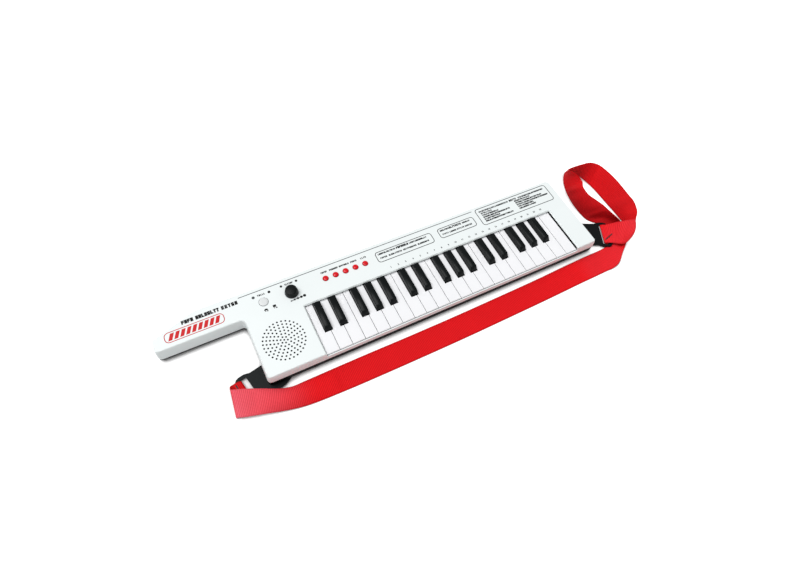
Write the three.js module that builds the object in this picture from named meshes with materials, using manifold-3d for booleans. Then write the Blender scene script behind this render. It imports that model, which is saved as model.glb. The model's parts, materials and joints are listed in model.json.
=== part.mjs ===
// Keytar: a 37-key electronic keyboard with a neck, a loudspeaker and a webbing strap.
// Millimetres, +Z up. The instrument lies on its four feet, with the keys facing up.
// The pieces are drawn from the left end of the keys (x), the fronts of the keys (y) and
// the table (z), and the finished group is centred over the origin.
import * as THREE from "three";
import { mergeVertices } from "three/addons/utils/BufferGeometryUtils.js";
import Module from "manifold-3d";

const wasm = await Module();
wasm.setup();

// Driving dimensions
const keyPitch = 20; // one white key to the next
const whiteCount = 22; // C to C, three octaves
const keyOpeningDepth = 82.2; // key fronts to the back edge of the opening
const keyTop = 25; // white key tops above the table
const coverTop = 30; // top face of the white cover
const caseBottom = 5; // underside of the black case, on its feet
const bodyParting = 15.5; // where cover and case meet round the body
const neckParting = 9.3; // where they meet round the neck
const leftCheek = 84.3; // body left of the keys
const rightCheek = 36.3; // body right of the keys
const bodyDepth = 138.3; // key fronts to the back of the top face
const neckReach = 124.2; // neck beyond the left end of the body
const neckWidth = 40.3; // front to back of the neck
const neckCutLength = 62.5; // slanted cut at the back of the neck's tip
const neckCutDepth = 22;
const wall = 2.2; // moulded walls
const seat = 0.3; // gap left where one piece rests on another
const overrun = 5; // how far a cutting shape runs past what it cuts

const keyboardWidth = whiteCount * keyPitch;
const bodyLeft = -leftCheek;
const bodyRight = keyboardWidth + rightCheek;
const neckTip = bodyLeft - neckReach;
const neckFront = bodyDepth - neckWidth;
const coverUnderside = coverTop - wall;
const floorTop = caseBottom + wall - seat;
const bodyLength = bodyRight - bodyLeft;

// A place on the body or the neck, from shares of its length and depth.
const onBody = ([alongShare, upShare]) => [
  bodyLeft + alongShare * bodyLength,
  upShare * bodyDepth,
];
const onNeck = ([alongShare, upShare]) => [
  neckTip + alongShare * neckReach,
  neckFront + upShare * neckWidth,
];

// Side walls: how far the skin stands out from the outline of the top face, by height
const edgeDrop = 0.8; // small round at the rim of the top face
const edgeOut = 0.9;
const shoulderDrop = 4; // softer slope below it
const shoulderOut = 1.9;
const partingOut = 2.8;
const bottomRound = 0.6;
const bottomOut = 2.4;
const seamStep = 0.3; // the case stands back from the cover at the seam
const skinTable = [
  [caseBottom, bottomOut],
  [caseBottom + bottomRound, partingOut],
  [bodyParting, partingOut],
  [coverTop - shoulderDrop, shoulderOut],
  [coverTop - edgeDrop, edgeOut],
  [coverTop, 0],
];

// Corner radii of the outline
const bodyCornerRadius = 3;
const backCornerRadius = 6;
const tipCornerRadius = 3;
const cutCornerRadius = 14;
const innerCornerRadius = 8;

const cornerSteps = 3;

// Materials
const material = (color, roughness, metalness = 0) =>
  new THREE.MeshStandardMaterial({ color, roughness, metalness });
const whiteShell = material("#eef5f5", 0.45);
const blackShell = material("#1e2423", 0.55);
const whiteKeyPlastic = material("#f7f7f8", 0.3);
const blackKeyPlastic = material("#1c2120", 0.35);
const redPlastic = material("#d81e2c", 0.35);
const redWebbing = material("#d81f24", 0.85);
const steel = material("#b9bcc0", 0.35, 1);
const circuitBoard = material("#1f6b3c", 0.5);
const greyRubber = material("#6c7072", 0.8);
const blackPaper = material("#22211f", 0.8);

const instrument = new THREE.Group();

// Shapes and solids

// A three.js geometry as a manifold solid.
function solid(geometry) {
  const bare = geometry.index ? geometry.toNonIndexed() : geometry.clone();
  bare.deleteAttribute("normal");
  bare.deleteAttribute("uv");
  const merged = mergeVertices(bare, 1e-4);
  return new wasm.Manifold(
    new wasm.Mesh({
      numProp: 3,
      vertProperties: merged.attributes.position.array,
      triVerts: new Uint32Array(merged.index.array),
    }),
  );
}

// A manifold solid as a named mesh of the instrument.
function addPiece(name, body, look, parent = instrument) {
  const mesh = body.getMesh();
  const geometry = new THREE.BufferGeometry()
    .setAttribute("position", new THREE.BufferAttribute(mesh.vertProperties.slice(), 3))
    .setIndex(new THREE.BufferAttribute(mesh.triVerts.slice(), 1));
  geometry.computeVertexNormals();
  const piece = new THREE.Mesh(geometry, look);
  piece.name = name;
  parent.add(piece);
  return piece;
}

// A box between two corners.
function box([x0, y0, z0], [x1, y1, z1]) {
  const geometry = new THREE.BoxGeometry(x1 - x0, y1 - y0, z1 - z0);
  geometry.translate((x0 + x1) / 2, (y0 + y1) / 2, (z0 + z1) / 2);
  return solid(geometry);
}

// A round upright bar or hole.
function post(x, y, radius, z0, z1, sides = 10) {
  const geometry = new THREE.CylinderGeometry(radius, radius, z1 - z0, sides);
  geometry.rotateX(Math.PI / 2);
  geometry.translate(x, y, (z0 + z1) / 2);
  return solid(geometry);
}

// A turned piece about the upright axis at x, y, from a profile of [radius, z] pairs.
function turned(x, y, profile, sides) {
  const points = profile.map(([r, z]) => new THREE.Vector2(r, z));
  const geometry = new THREE.LatheGeometry(points, sides);
  geometry.rotateX(Math.PI / 2);
  geometry.translate(x, y, 0);
  return solid(geometry);
}

// A flat outline of [a, b] pairs, extruded: a and b lie along the given axes.
function extruded(outline, depth, aAxis, bAxis, origin) {
  const shape = new THREE.Shape(outline.map(([a, b]) => new THREE.Vector2(a, b)));
  const geometry = new THREE.ExtrudeGeometry(shape, { depth, bevelEnabled: false });
  const basis = new THREE.Matrix4().makeBasis(aAxis, bAxis, aAxis.clone().cross(bAxis));
  geometry.applyMatrix4(basis);
  geometry.translate(...origin);
  return solid(geometry);
}

const alongX = new THREE.Vector3(1, 0, 0);
const alongY = new THREE.Vector3(0, 1, 0);
const alongZ = new THREE.Vector3(0, 0, 1);

// A closed outline with rounded corners, moved outwards by out. Every corner gives the
// same number of points whatever the offset, so outlines at several heights can be lofted.
function roundedOutline(corners, out, steps = cornerSteps) {
  const count = corners.length;
  const points = [];
  corners.forEach(({ x, y, r }, i) => {
    const before = corners[(i + count - 1) % count];
    const after = corners[(i + 1) % count];
    const arrive = new THREE.Vector2(x - before.x, y - before.y).normalize();
    const leave = new THREE.Vector2(after.x - x, after.y - y).normalize();
    const turn = Math.asin(THREE.MathUtils.clamp(arrive.cross(leave), -1, 1));
    const side = Math.sign(turn);
    const reach = out * Math.tan(Math.abs(turn) / 2) * side;
    const tip = new THREE.Vector2(x, y)
      .addScaledVector(new THREE.Vector2(arrive.y, -arrive.x), out)
      .addScaledVector(arrive, reach);
    const radius = Math.max(r + side * out, seat);
    const back = radius * Math.tan(Math.abs(turn) / 2);
    const start = tip.clone().addScaledVector(arrive, -back);
    const towards = new THREE.Vector2(-arrive.y, arrive.x).multiplyScalar(side);
    const centre = start.clone().addScaledVector(towards, radius);
    for (let s = 0; s <= steps; s += 1) {
      const spoke = start.clone().rotateAround(centre, (turn * s) / steps);
      points.push([spoke.x, spoke.y]);
    }
  });
  return points;
}

// A solid through outlines of equal point count at rising heights.
function lofted(levels) {
  const count = levels[0].points.length;
  const positions = levels.flatMap(({ z, points }) => points.flatMap(([x, y]) => [x, y, z]));
  const cap = (level) =>
    THREE.ShapeUtils.triangulateShape(
      level.points.map(([x, y]) => new THREE.Vector2(x, y)),
      [],
    );
  const index = [];
  cap(levels[0]).forEach(([a, b, c]) => index.push(c, b, a));
  const last = (levels.length - 1) * count;
  cap(levels.at(-1)).forEach(([a, b, c]) => index.push(last + a, last + b, last + c));
  for (let level = 0; level < levels.length - 1; level += 1) {
    for (let i = 0; i < count; i += 1) {
      const next = (i + 1) % count;
      const low = level * count;
      const high = low + count;
      index.push(low + i, low + next, high + next, low + i, high + next, high + i);
    }
  }
  const geometry = new THREE.BufferGeometry()
    .setAttribute("position", new THREE.Float32BufferAttribute(positions, 3))
    .setIndex(index);
  return solid(geometry);
}

// Joins a list of solids into one.
function joined(pieces) {
  return pieces.reduce((whole, piece) => whole.add(piece));
}

// Housing

const outlineCorners = [
  { x: bodyLeft, y: 0, r: bodyCornerRadius },
  { x: bodyRight, y: 0, r: bodyCornerRadius },
  { x: bodyRight, y: bodyDepth, r: backCornerRadius },
  { x: neckTip + neckCutLength, y: bodyDepth, r: cutCornerRadius },
  { x: neckTip, y: bodyDepth - neckCutDepth, r: tipCornerRadius },
  { x: neckTip, y: neckFront, r: tipCornerRadius },
  { x: bodyLeft, y: neckFront, r: innerCornerRadius },
];

// How far the outer skin stands out from the top outline at height z.
function skinOut(z) {
  const above = skinTable.findIndex(([height]) => height >= z);
  if (above <= 0) return above === 0 ? skinTable[0][1] : 0;
  const [z0, out0] = skinTable[above - 1];
  const [z1, out1] = skinTable[above];
  return out0 + ((out1 - out0) * (z - z0)) / (z1 - z0);
}

// The housing's outer form between heights, drawn in by inset.
function housingForm(heights, inset) {
  return lofted(
    heights.map((z) => ({
      z,
      points: roundedOutline(outlineCorners, skinOut(z) - inset),
    })),
  );
}

const neckJoin = bodyLeft - partingOut; // where the neck's walls meet the body's
const everythingLow = [neckTip - neckReach, -bodyDepth, -overrun];
const everythingHigh = [bodyRight + neckReach, 2 * bodyDepth, coverTop + overrun];

// Speaker
const speakerX = -45.8;
const speakerY = 43.6;
const speakerRadius = 33;
const grilleRadius = 29.7; // centre to the outer ring of holes
const grilleRings = 6;
const grilleHolesPerRing = 5; // each ring has five more holes than the one inside it
const grilleHoleRadius = 1.45;
const grilleHoleSides = 6;
const grilleLineAngle = THREE.MathUtils.degToRad(159.4); // all rings start on this line
const speakerRingWall = 1.4;
const speakerRingDrop = 4;
const speakerFlange = 1.6;
const speakerMagnetRadius = 15;
const speakerMagnetTop = 16.5;
const speakerMagnetBottom = 8.5;
const speakerNeckRadius = 17;
const speakerConeShare = 0.88;
const speakerCapShare = 0.3;
const speakerConeDepth = 7;
const speakerSides = 32;

function grilleHoles() {
  const holes = [];
  for (let ring = 0; ring <= grilleRings; ring += 1) {
    const inRing = 1 + ring * grilleHolesPerRing;
    const radius = (grilleRadius * ring) / grilleRings;
    for (let k = 0; k < inRing; k += 1) {
      const angle = grilleLineAngle + (2 * Math.PI * k) / inRing;
      const x = speakerX + radius * Math.cos(angle);
      const y = speakerY + radius * Math.sin(angle);
      holes.push(
        post(x, y, grilleHoleRadius, coverUnderside - overrun, coverTop + overrun, grilleHoleSides),
      );
    }
  }
  return holes;
}

// Controls on the cover
const buttonX0 = 45.6;
const buttonPitch = 16.4;
const buttonCount = 5;
const buttonRadius = 4.4;
const buttonProud = 2.2;
const buttonStemRadius = 2.5;
const buttonStemGap = 1.6; // stem above its switch
const powerX = -51.5;
const powerRadius = 6.9;
const powerProud = 1.4;
const powerStemRadius = 4;
const powerStemGap = 1.9;
const capRimShare = 0.86; // a button's dome: of its radius
const capCrownShare = 0.5;
const controlGap = 0.4; // round a button in its hole
const flangeOut = 1.5; // flange beyond the cap, under the cover
const flangeThickness = 1.4;
const knobX = -9.2;
const knobRadius = 10;
const knobHeight = 9;
const knobLift = 0.5;
const knobTopRadius = 8.6;
const knobEdge = 1.1;
const knobHoleRadius = 4;
const shaftRadius = 3;
const shaftTop = 36;
const potRadius = 8;
const potHeight = 6.8;

const buttonPlaces = Array.from({ length: buttonCount }, (_, i) => buttonX0 + i * buttonPitch);

// Key hinge
const axleShare = 0.3; // of the panel behind the keys
const axleY = keyOpeningDepth + axleShare * (bodyDepth - keyOpeningDepth);
const axleZ = 19.5;
const axleRadius = 1.5;
const axleOverhang = 3;
const tailLength = 4; // of a key, behind its axle
const tailEnd = axleY + tailLength;
const tailBottom = axleZ + seat;
const notchClearance = 0.3;
const railReach = 8; // of the key frame, in front of the axle
const railFront = axleY - railReach;
const railTop = axleZ - seat;
const railWall = 2.4;
const holdDownGap = 0.4;
const holdDownWidth = 3;

// Main board, hung under the controls
const boardLeftMargin = 26.5; // past the power button's middle
const boardRightMargin = 12.8; // past the last function button's middle
const boardX0 = powerX - boardLeftMargin;
const boardX1 = buttonPlaces.at(-1) + boardRightMargin;
const boardFrontGap = 2.5; // behind the keys' tails
const boardBackGap = 4.3; // from the back of the top face
const boardY0 = tailEnd + boardFrontGap;
const boardY1 = bodyDepth - boardBackGap;
const boardTop = 19;
const boardThickness = 1.6;
const boardLength = boardX1 - boardX0;
const boardDepth = boardY1 - boardY0;
const onBoard = ([alongShare, upShare]) => [
  boardX0 + alongShare * boardLength,
  boardY0 + upShare * boardDepth,
];
const buttonRowShare = 0.24;
const knobShare = 0.165;
const buttonRowY = boardY0 + buttonRowShare * boardDepth;
const knobY = boardY0 + knobShare * boardDepth;
const boardPostShares = [
  [0.04, 0.13],
  [0.04, 0.87],
  [0.97, 0.13],
  [0.97, 0.87],
  [0.49, 0.87],
];
const boardPosts = boardPostShares.map(onBoard);
const boardPostRadius = 3;

// Jack socket in the back wall
const jackX = -30;
const jackZ = 22.8;
const jackBodyWidth = 11;
const jackBodyDepth = 12.5;
const jackBodyHeight = 7;
const jackCollarRadius = 3.2;
const jackBoreRadius = 1.8;
const jackBoreDepth = 15;

// Closing screws, driven up through posts in the case into posts in the cover
const bodyScrewShares = [
  [0.012, 0.047],
  [0.135, 0.05],
  [0.012, 0.65],
  [0.4, 0.947],
  [0.66, 0.947],
  [0.83, 0.947],
  [0.982, 0.94],
  [0.982, 0.61],
  [0.962, 0.054],
];
const neckScrewShares = [
  [0.15, 0.24],
  [0.84, 0.72],
];
const screwPlaces = [...bodyScrewShares.map(onBody), ...neckScrewShares.map(onNeck)];
const screwPostRadius = 3.6;
const screwHeadRadius = 2.9;
const screwHeadDepth = 5;
const screwPilotRadius = 1.4;

const openingSideGap = 0.5;
const openingLeft = -openingSideGap;
const openingRight = keyboardWidth + openingSideGap;
const railHeight = 23; // front rail, just below the key tops
const railInner = -0.6;
const openingChamfer = 1.6;

// The opening for the keys, with its sloped rim.
function keyOpening() {
  const floor = [
    [openingLeft, railInner],
    [openingRight, railInner],
    [openingRight, keyOpeningDepth],
    [openingLeft, keyOpeningDepth],
  ];
  const wider = (out) => [
    [openingLeft - out, -overrun],
    [openingRight + out, -overrun],
    [openingRight + out, keyOpeningDepth + out],
    [openingLeft - out, keyOpeningDepth + out],
  ];
  const sloped = lofted([
    { z: coverTop - openingChamfer, points: wider(0) },
    { z: coverTop + openingChamfer, points: wider(2 * openingChamfer) },
  ]);
  const through = lofted([
    { z: caseBottom, points: floor },
    { z: coverTop + overrun, points: floor },
  ]);
  const aboveRail = box(
    [openingLeft, -overrun, railHeight],
    [openingRight, keyOpeningDepth, coverTop + overrun],
  );
  return joined([through, aboveRail, sloped]);
}

function topCover() {
  const outer = housingForm(
    [neckParting, bodyParting, coverTop - shoulderDrop, coverTop - edgeDrop, coverTop],
    0,
  );
  const inner = housingForm([neckParting - overrun, bodyParting, coverUnderside], wall);
  const below = box(
    [neckJoin - seat, everythingLow[1], everythingLow[2]],
    [everythingHigh[0], everythingHigh[1], bodyParting],
  );
  let shell = outer.subtract(inner).subtract(below);

  // posts for the closing screws
  const posts = screwPlaces.map(([x, y]) =>
    post(x, y, screwPostRadius, bodyParting, coverUnderside + wall / 2),
  );
  const speakerRing = turned(
    speakerX,
    speakerY,
    [
      [speakerRadius + seat, coverUnderside - speakerRingDrop],
      [speakerRadius + seat + speakerRingWall, coverUnderside - speakerRingDrop],
      [speakerRadius + seat + speakerRingWall, coverUnderside + wall / 2],
      [speakerRadius + seat, coverUnderside + wall / 2],
      [speakerRadius + seat, coverUnderside - speakerRingDrop],
    ],
    speakerSides,
  );
  const holdDown = box(
    [openingLeft, axleY - holdDownWidth / 2, keyTop + holdDownGap],
    [openingRight, axleY + holdDownWidth / 2, coverUnderside + wall / 2],
  );
  shell = joined([shell, ...posts, speakerRing, holdDown]);

  const holes = [
    ...grilleHoles(),
    ...buttonPlaces.map((x) => controlHole(x, buttonRowY, buttonRadius + controlGap, 14)),
    controlHole(powerX, buttonRowY, powerRadius + controlGap, 24),
    controlHole(knobX, knobY, knobHoleRadius, 16),
    jackHole(),
  ];
  return holes.reduce((whole, hole) => whole.subtract(hole), shell.subtract(keyOpening()));
}

function controlHole(x, y, radius, sides) {
  return post(x, y, radius, coverUnderside - overrun, coverTop + overrun, sides);
}

// A round bar along y, for the jack's collar and bore.
function barAlongY(x, z, radius, y0, y1, sides) {
  const geometry = new THREE.CylinderGeometry(radius, radius, y1 - y0, sides);
  geometry.translate(x, (y0 + y1) / 2, z);
  return solid(geometry);
}

function jackHole() {
  return barAlongY(
    jackX,
    jackZ,
    jackCollarRadius + seat,
    bodyDepth - wall - overrun,
    bodyDepth + overrun,
    12,
  );
}

// Strap lugs
const lugThickness = 2.5;
const lugTop = caseBottom - seat;
const lugBottom = lugTop - lugThickness;
const lugPlateWidth = 44;
const lugLoopWidth = 50;
const lugEndRadius = 13;
const lugSlotInner = 52.4; // pivot to the near side of the slot
const lugSlotLength = 11;
const lugBar = 6;
const lugBarThickness = 1.6; // the bar is relieved from below, for the strap
const lugSlotWidth = 40;
const lugShoulder = 45; // pivot to where the plate widens into the loop
const lugLoopCorner = 8;
const lugBoreRadius = 2.3;
const lugCounterboreRadius = 5;
const lugCounterboreDepth = 1.3;
const lugPivotCornerShare = 0.9; // of the end radius, for its two round corners
const leftLugInset = 27.3; // pivot from the body's left end
const leftLugY = 16.6;
const leftLugTurn = THREE.MathUtils.degToRad(192.5);
const rightLugInset = 8.9; // pivot from the body's right end
const rightLugY = 38.4;
const rightLugTurn = THREE.MathUtils.degToRad(-25);
const lugs = [
  { name: "left", x: bodyLeft + leftLugInset, y: leftLugY, angle: leftLugTurn },
  { name: "right", x: bodyRight - rightLugInset, y: rightLugY, angle: rightLugTurn },
];
const lugScrewShaft = 2;
const lugScrewHead = 4.6;
const lugScrewTop = 12.5;
const lugBossRadius = 5;
const lugBossTop = 13.5;

// Battery bay for four AA cells, two by two, and its hinged door
const bayX0 = 160;
const bayLength = 104;
const bayX1 = bayX0 + bayLength;
const bayFrontGap = 2; // behind the keys' tails
const bayBackGap = 2.3; // from the back of the top face
const bayY0 = tailEnd + bayFrontGap;
const bayY1 = bodyDepth - bayBackGap;
const bayWall = 1.2;
const bayCeiling = 23.6;
const doorThickness = 1.8;
const doorGap = 0.4;
const doorPinRadius = 1.2;
const doorBarrelRadius = 2.4;
const doorPinY = bayY1 - doorBarrelRadius - doorGap;
const doorPinZ = caseBottom + doorBarrelRadius;
const doorPinReach = 1;
const doorLatchWidth = 14;
const doorLatchTop = 11;
const doorLatchThickness = 1.2;
const doorGripWidth = 18;
const doorGripDepth = 0.9;
const doorGripLength = 7;

// Feet
const footRadius = 7;
const footChamfer = 0.6;
const footShares = [
  [0.111, 0.087],
  [0.917, 0.087],
  [0.033, 0.882],
  [0.95, 0.882],
];
const footPlaces = footShares.map(onBody);

// Contact board and rubber strip under the keys
const keyBottom = 14.5;
const blackBackGap = 2.2; // black keys' tops in front of the opening's back edge
const blackBack = keyOpeningDepth - blackBackGap;
const whiteDomeY = 33;
const blackDomeInset = 20; // from the back of the black keys' tops
const blackDomeY = blackBack - blackDomeInset;
const domeTop = 11.9;
const domeBaseRadius = 3.6;
const domeTopRadius = 2.2;
const domeSides = 6;
const stripBase = 0.6;
const stripMargin = 6; // past the domes' middles
const stripY0 = whiteDomeY - stripMargin;
const stripY1 = blackDomeY + stripMargin;
const contactBoardFrontMargin = 3;
const contactBoardBackMargin = 14;
const contactBoardY0 = stripY0 - contactBoardFrontMargin;
const contactBoardY1 = stripY1 + contactBoardBackMargin;
const contactBoardThickness = 1.2;
const contactRibTop = 8.6;
const contactRibWidth = 1.6;
const contactRibMargin = 5; // rib inside the board's edge
const contactRibRows = [contactBoardY0 + contactRibMargin, contactBoardY1 - contactRibMargin];

function lowerCase() {
  const outer = housingForm(
    [caseBottom, caseBottom + bottomRound, bodyParting - seat],
    seamStep,
  );
  const inner = housingForm([floorTop, bodyParting, coverTop - shoulderDrop], wall + seamStep);
  const aboveNeck = box(
    [everythingLow[0], everythingLow[1], neckParting - seat],
    [neckJoin, everythingHigh[1], everythingHigh[2]],
  );
  let tray = outer.subtract(inner).subtract(aboveNeck);

  const postFloor = floorTop - wall / 2;
  const added = [
    ...screwPlaces.map(([x, y]) => post(x, y, screwPostRadius, postFloor, bodyParting - seat)),
    ...boardPosts.map(([x, y]) =>
      post(x, y, boardPostRadius, postFloor, boardTop - boardThickness - seat),
    ),
    ...lugs.map(({ x, y }) => post(x, y, lugBossRadius, postFloor, lugBossTop)),
    ...contactRibRows.map((y) =>
      box(
        [keyPitch, y - contactRibWidth / 2, postFloor],
        [keyboardWidth - keyPitch, y + contactRibWidth / 2, contactRibTop],
      ),
    ),
    box(
      [bayX0 - bayWall, bayY0 - bayWall, postFloor],
      [bayX1 + bayWall, bayY1 + bayWall, bayCeiling + bayWall],
    ),
    ...footPlaces.map(([x, y]) =>
      turned(
        x,
        y,
        [
          [0, 0],
          [footRadius - footChamfer, 0],
          [footRadius, footChamfer],
          [footRadius, caseBottom + wall / 2],
          [0, caseBottom + wall / 2],
        ],
        16,
      ),
    ),
  ];
  tray = joined([tray, ...added]);

  const removed = [
    ...screwPlaces.flatMap(([x, y]) => [
      post(x, y, screwHeadRadius, -overrun, caseBottom + screwHeadDepth, 10),
      post(x, y, screwPilotRadius, caseBottom, coverTop, 6),
    ]),
    ...lugs.map(({ x, y }) => post(x, y, lugBoreRadius, -overrun, coverTop, 10)),
    box([bayX0, bayY0, -overrun], [bayX1, bayY1, bayCeiling]),
    barAlongX(
      bayX0 - doorPinReach - seat,
      bayX1 + doorPinReach + seat,
      doorPinY,
      doorPinZ,
      doorPinRadius + seat,
      10,
    ),
  ];
  return removed.reduce((whole, piece) => whole.subtract(piece), tray);
}

// A round bar along x, for the key axle and the door's pins.
function barAlongX(x0, x1, y, z, radius, sides) {
  const geometry = new THREE.CylinderGeometry(radius, radius, x1 - x0, sides);
  geometry.rotateZ(Math.PI / 2);
  geometry.translate((x0 + x1) / 2, y, z);
  return solid(geometry);
}

function batteryDoor() {
  const x0 = bayX0 + doorGap;
  const x1 = bayX1 - doorGap;
  const front = bayY0 + doorGap;
  const top = caseBottom + doorThickness;
  const middle = (x0 + x1) / 2;
  const barrel = Array.from({ length: 7 }, (_, i) => {
    const a = -Math.PI / 2 + (Math.PI * i) / 6;
    return [doorPinY + doorBarrelRadius * Math.cos(a), doorPinZ + doorBarrelRadius * Math.sin(a)];
  });
  const side = [
    [front, caseBottom],
    ...barrel,
    [doorPinY - doorBarrelRadius, top],
    [front, top],
  ];
  const plate = extruded(side, x1 - x0, alongY, alongZ, [x0, 0, 0]);
  const latch = box(
    [middle - doorLatchWidth / 2, front, caseBottom],
    [middle + doorLatchWidth / 2, front + doorLatchThickness, doorLatchTop],
  );
  const pins = barAlongX(
    x0 - doorPinReach,
    x1 + doorPinReach,
    doorPinY,
    doorPinZ,
    doorPinRadius,
    10,
  );
  const grip = box(
    [middle - doorGripWidth / 2, front + doorThickness, -overrun],
    [middle + doorGripWidth / 2, front + doorThickness + doorGripLength, caseBottom + doorGripDepth],
  );
  return joined([plate, latch, pins]).subtract(grip);
}

// Keys

const keyGap = 0.6;
const keyFrontRadius = 1.2;
const keySideChamfer = 0.35;
const keyWall = 1.6;
const deepEndGap = 2.5;
const deepEnd = railFront - deepEndGap; // the deep part of a key ends in front of the rail
const plungerHalf = 4;
const plungerFront = whiteDomeY - plungerHalf;
const plungerBack = whiteDomeY + plungerHalf;
const blackFront = 33;
const blackTop = 33;
const blackWidth = 11.3;
const blackSlope = 4.2; // how far the front face leans back
const blackSideLean = 0.55;
const blackRim = 0.8;
const blackCorner = 0.8;
const blackClearance = 0.7;
const blackPlungerFront = blackDomeY - plungerHalf;
const blackPlungerBack = blackDomeY + plungerHalf;
// centres of an octave's black keys, in white key widths from its C
const blackPlaceShares = [0.86, 2.06, 3.79, 4.96, 6.12];
const whitesPerOctave = 7;

const blackCentres = [];
for (let octave = 0; octave * whitesPerOctave < whiteCount - 1; octave += 1) {
  blackPlaceShares.forEach((share) =>
    blackCentres.push((octave * whitesPerOctave + share) * keyPitch),
  );
}

// Side view of a key's hinge end, from the deep part back: [y, z] pairs.
function tailProfile() {
  const radius = axleRadius + notchClearance;
  const low = Math.asin(seat / radius);
  const arc = Array.from({ length: 7 }, (_, i) => Math.PI - low - ((Math.PI - 2 * low) * i) / 6);
  return [
    [deepEnd, tailBottom],
    ...arc.map((a) => [axleY + radius * Math.cos(a), axleZ + radius * Math.sin(a)]),
    [tailEnd, tailBottom],
    [tailEnd, keyTop],
  ];
}

function whiteKey(i) {
  const x0 = i * keyPitch + keyGap / 2;
  const x1 = (i + 1) * keyPitch - keyGap / 2;
  const round = [0, 1, 2, 3].map((s) => {
    const a = Math.PI / 2 + (Math.PI / 2) * (s / 3);
    return [
      keyFrontRadius + keyFrontRadius * Math.cos(a),
      keyTop - keyFrontRadius + keyFrontRadius * Math.sin(a),
    ];
  });
  const profile = [[0, keyBottom], [deepEnd, keyBottom], ...tailProfile(), ...round];
  const side = extruded(profile, x1 - x0, alongY, alongZ, [x0, 0, 0]);
  const section = [
    [x0, keyTop],
    [x0, keyBottom],
    [x1, keyBottom],
    [x1, keyTop],
  ].flatMap(([x, z], k) => {
    const inward = k === 0 || k === 1 ? keySideChamfer : -keySideChamfer;
    if (z === keyBottom) return [[x, z]];
    const onTop = [x + inward, z];
    const onSide = [x, z - keySideChamfer];
    return k === 0 ? [onTop, onSide] : [onSide, onTop];
  });
  const bar = extruded(section, tailEnd, alongX, alongZ, [0, tailEnd, 0]);
  let key = side.intersect(bar);

  // room for the black keys on either side
  const half = blackWidth / 2 + blackClearance;
  const left = blackCentres.find((c) => Math.abs(c - i * keyPitch) < keyPitch / 2);
  const right = blackCentres.find((c) => Math.abs(c - (i + 1) * keyPitch) < keyPitch / 2);
  const narrow0 = left === undefined ? x0 : left + half;
  const narrow1 = right === undefined ? x1 : right - half;
  const notchFront = blackFront - blackClearance;
  if (left !== undefined) key = key.subtract(keyCut(x0 - overrun, narrow0, notchFront, tailEnd));
  if (right !== undefined) key = key.subtract(keyCut(narrow1, x1 + overrun, notchFront, tailEnd));

  // hollow from below, with a plunger left standing over the rubber dome
  const front = box(
    [x0 + keyWall, keyWall, keyBottom - overrun],
    [x1 - keyWall, plungerFront, keyTop - keyWall],
  );
  const rear = box(
    [narrow0 + keyWall, plungerBack, keyBottom - overrun],
    [narrow1 - keyWall, deepEnd - keyWall, keyTop - keyWall],
  );
  return key.subtract(front).subtract(rear);
}

function keyCut(x0, x1, y0, y1) {
  return box([x0, y0, keyBottom - overrun], [x1, y1 + overrun, keyTop + overrun]);
}

function blackKey(centre) {
  const half = blackWidth / 2;
  const plan = (inset, front, back) =>
    roundedOutline(
      [
        { x: centre - half + inset, y: front, r: blackCorner },
        { x: centre + half - inset, y: front, r: blackCorner },
        { x: centre + half - inset, y: back, r: blackCorner },
        { x: centre - half + inset, y: back, r: blackCorner },
      ],
      0,
      1,
    );
  const top = lofted([
    { z: keyBottom, points: plan(0, blackFront, blackBack) },
    { z: keyTop, points: plan(0, blackFront, blackBack) },
    {
      z: blackTop - blackRim,
      points: plan(blackSideLean, blackFront + blackSlope, blackBack),
    },
    {
      z: blackTop,
      points: plan(blackSideLean + blackRim, blackFront + blackSlope + blackRim, blackBack - blackRim),
    },
  ]);
  const profile = [
    [blackBack - 2 * blackCorner, keyBottom],
    [deepEnd, keyBottom],
    ...tailProfile(),
    [blackBack - 2 * blackCorner, keyTop],
  ];
  const tail = extruded(profile, blackWidth, alongY, alongZ, [centre - half, 0, 0]);
  const pocket = (y0, y1) =>
    box(
      [centre - half + keyWall, y0, keyBottom - overrun],
      [centre + half - keyWall, y1, keyTop],
    );
  return top
    .add(tail)
    .subtract(pocket(blackFront + keyWall, blackPlungerFront))
    .subtract(pocket(blackPlungerBack, blackBack - keyWall));
}

// Key frame: a channel with a groove along its top that carries the axle.
function keyFrame() {
  const grooveRadius = axleRadius + seat / 2;
  const low = Math.asin(seat / grooveRadius);
  const groove = Array.from({ length: 7 }, (_, i) => {
    const a = -low - ((Math.PI - 2 * low) * i) / 6;
    return [axleY + grooveRadius * Math.cos(a), axleZ + grooveRadius * Math.sin(a)];
  });
  const bottom = floorTop + seat;
  const profile = [
    [railFront, bottom],
    [railFront + railWall, bottom],
    [railFront + railWall, railTop - 2 * railWall],
    [tailEnd - railWall, railTop - 2 * railWall],
    [tailEnd - railWall, bottom],
    [tailEnd, bottom],
    [tailEnd, railTop],
    ...groove,
    [railFront, railTop],
  ];
  return extruded(profile, keyboardWidth, alongY, alongZ, [0, 0, 0]);
}

function keyAxle() {
  return barAlongX(-axleOverhang, keyboardWidth + axleOverhang, axleY, axleZ, axleRadius, 12);
}

const contactBoardBottom = contactRibTop + seat;
const contactBoardTop = contactBoardBottom + contactBoardThickness;
const stripBottom = contactBoardTop + seat;

function contactBoard() {
  return box(
    [keyGap, contactBoardY0, contactBoardBottom],
    [keyboardWidth - keyGap, contactBoardY1, contactBoardTop],
  );
}

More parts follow.
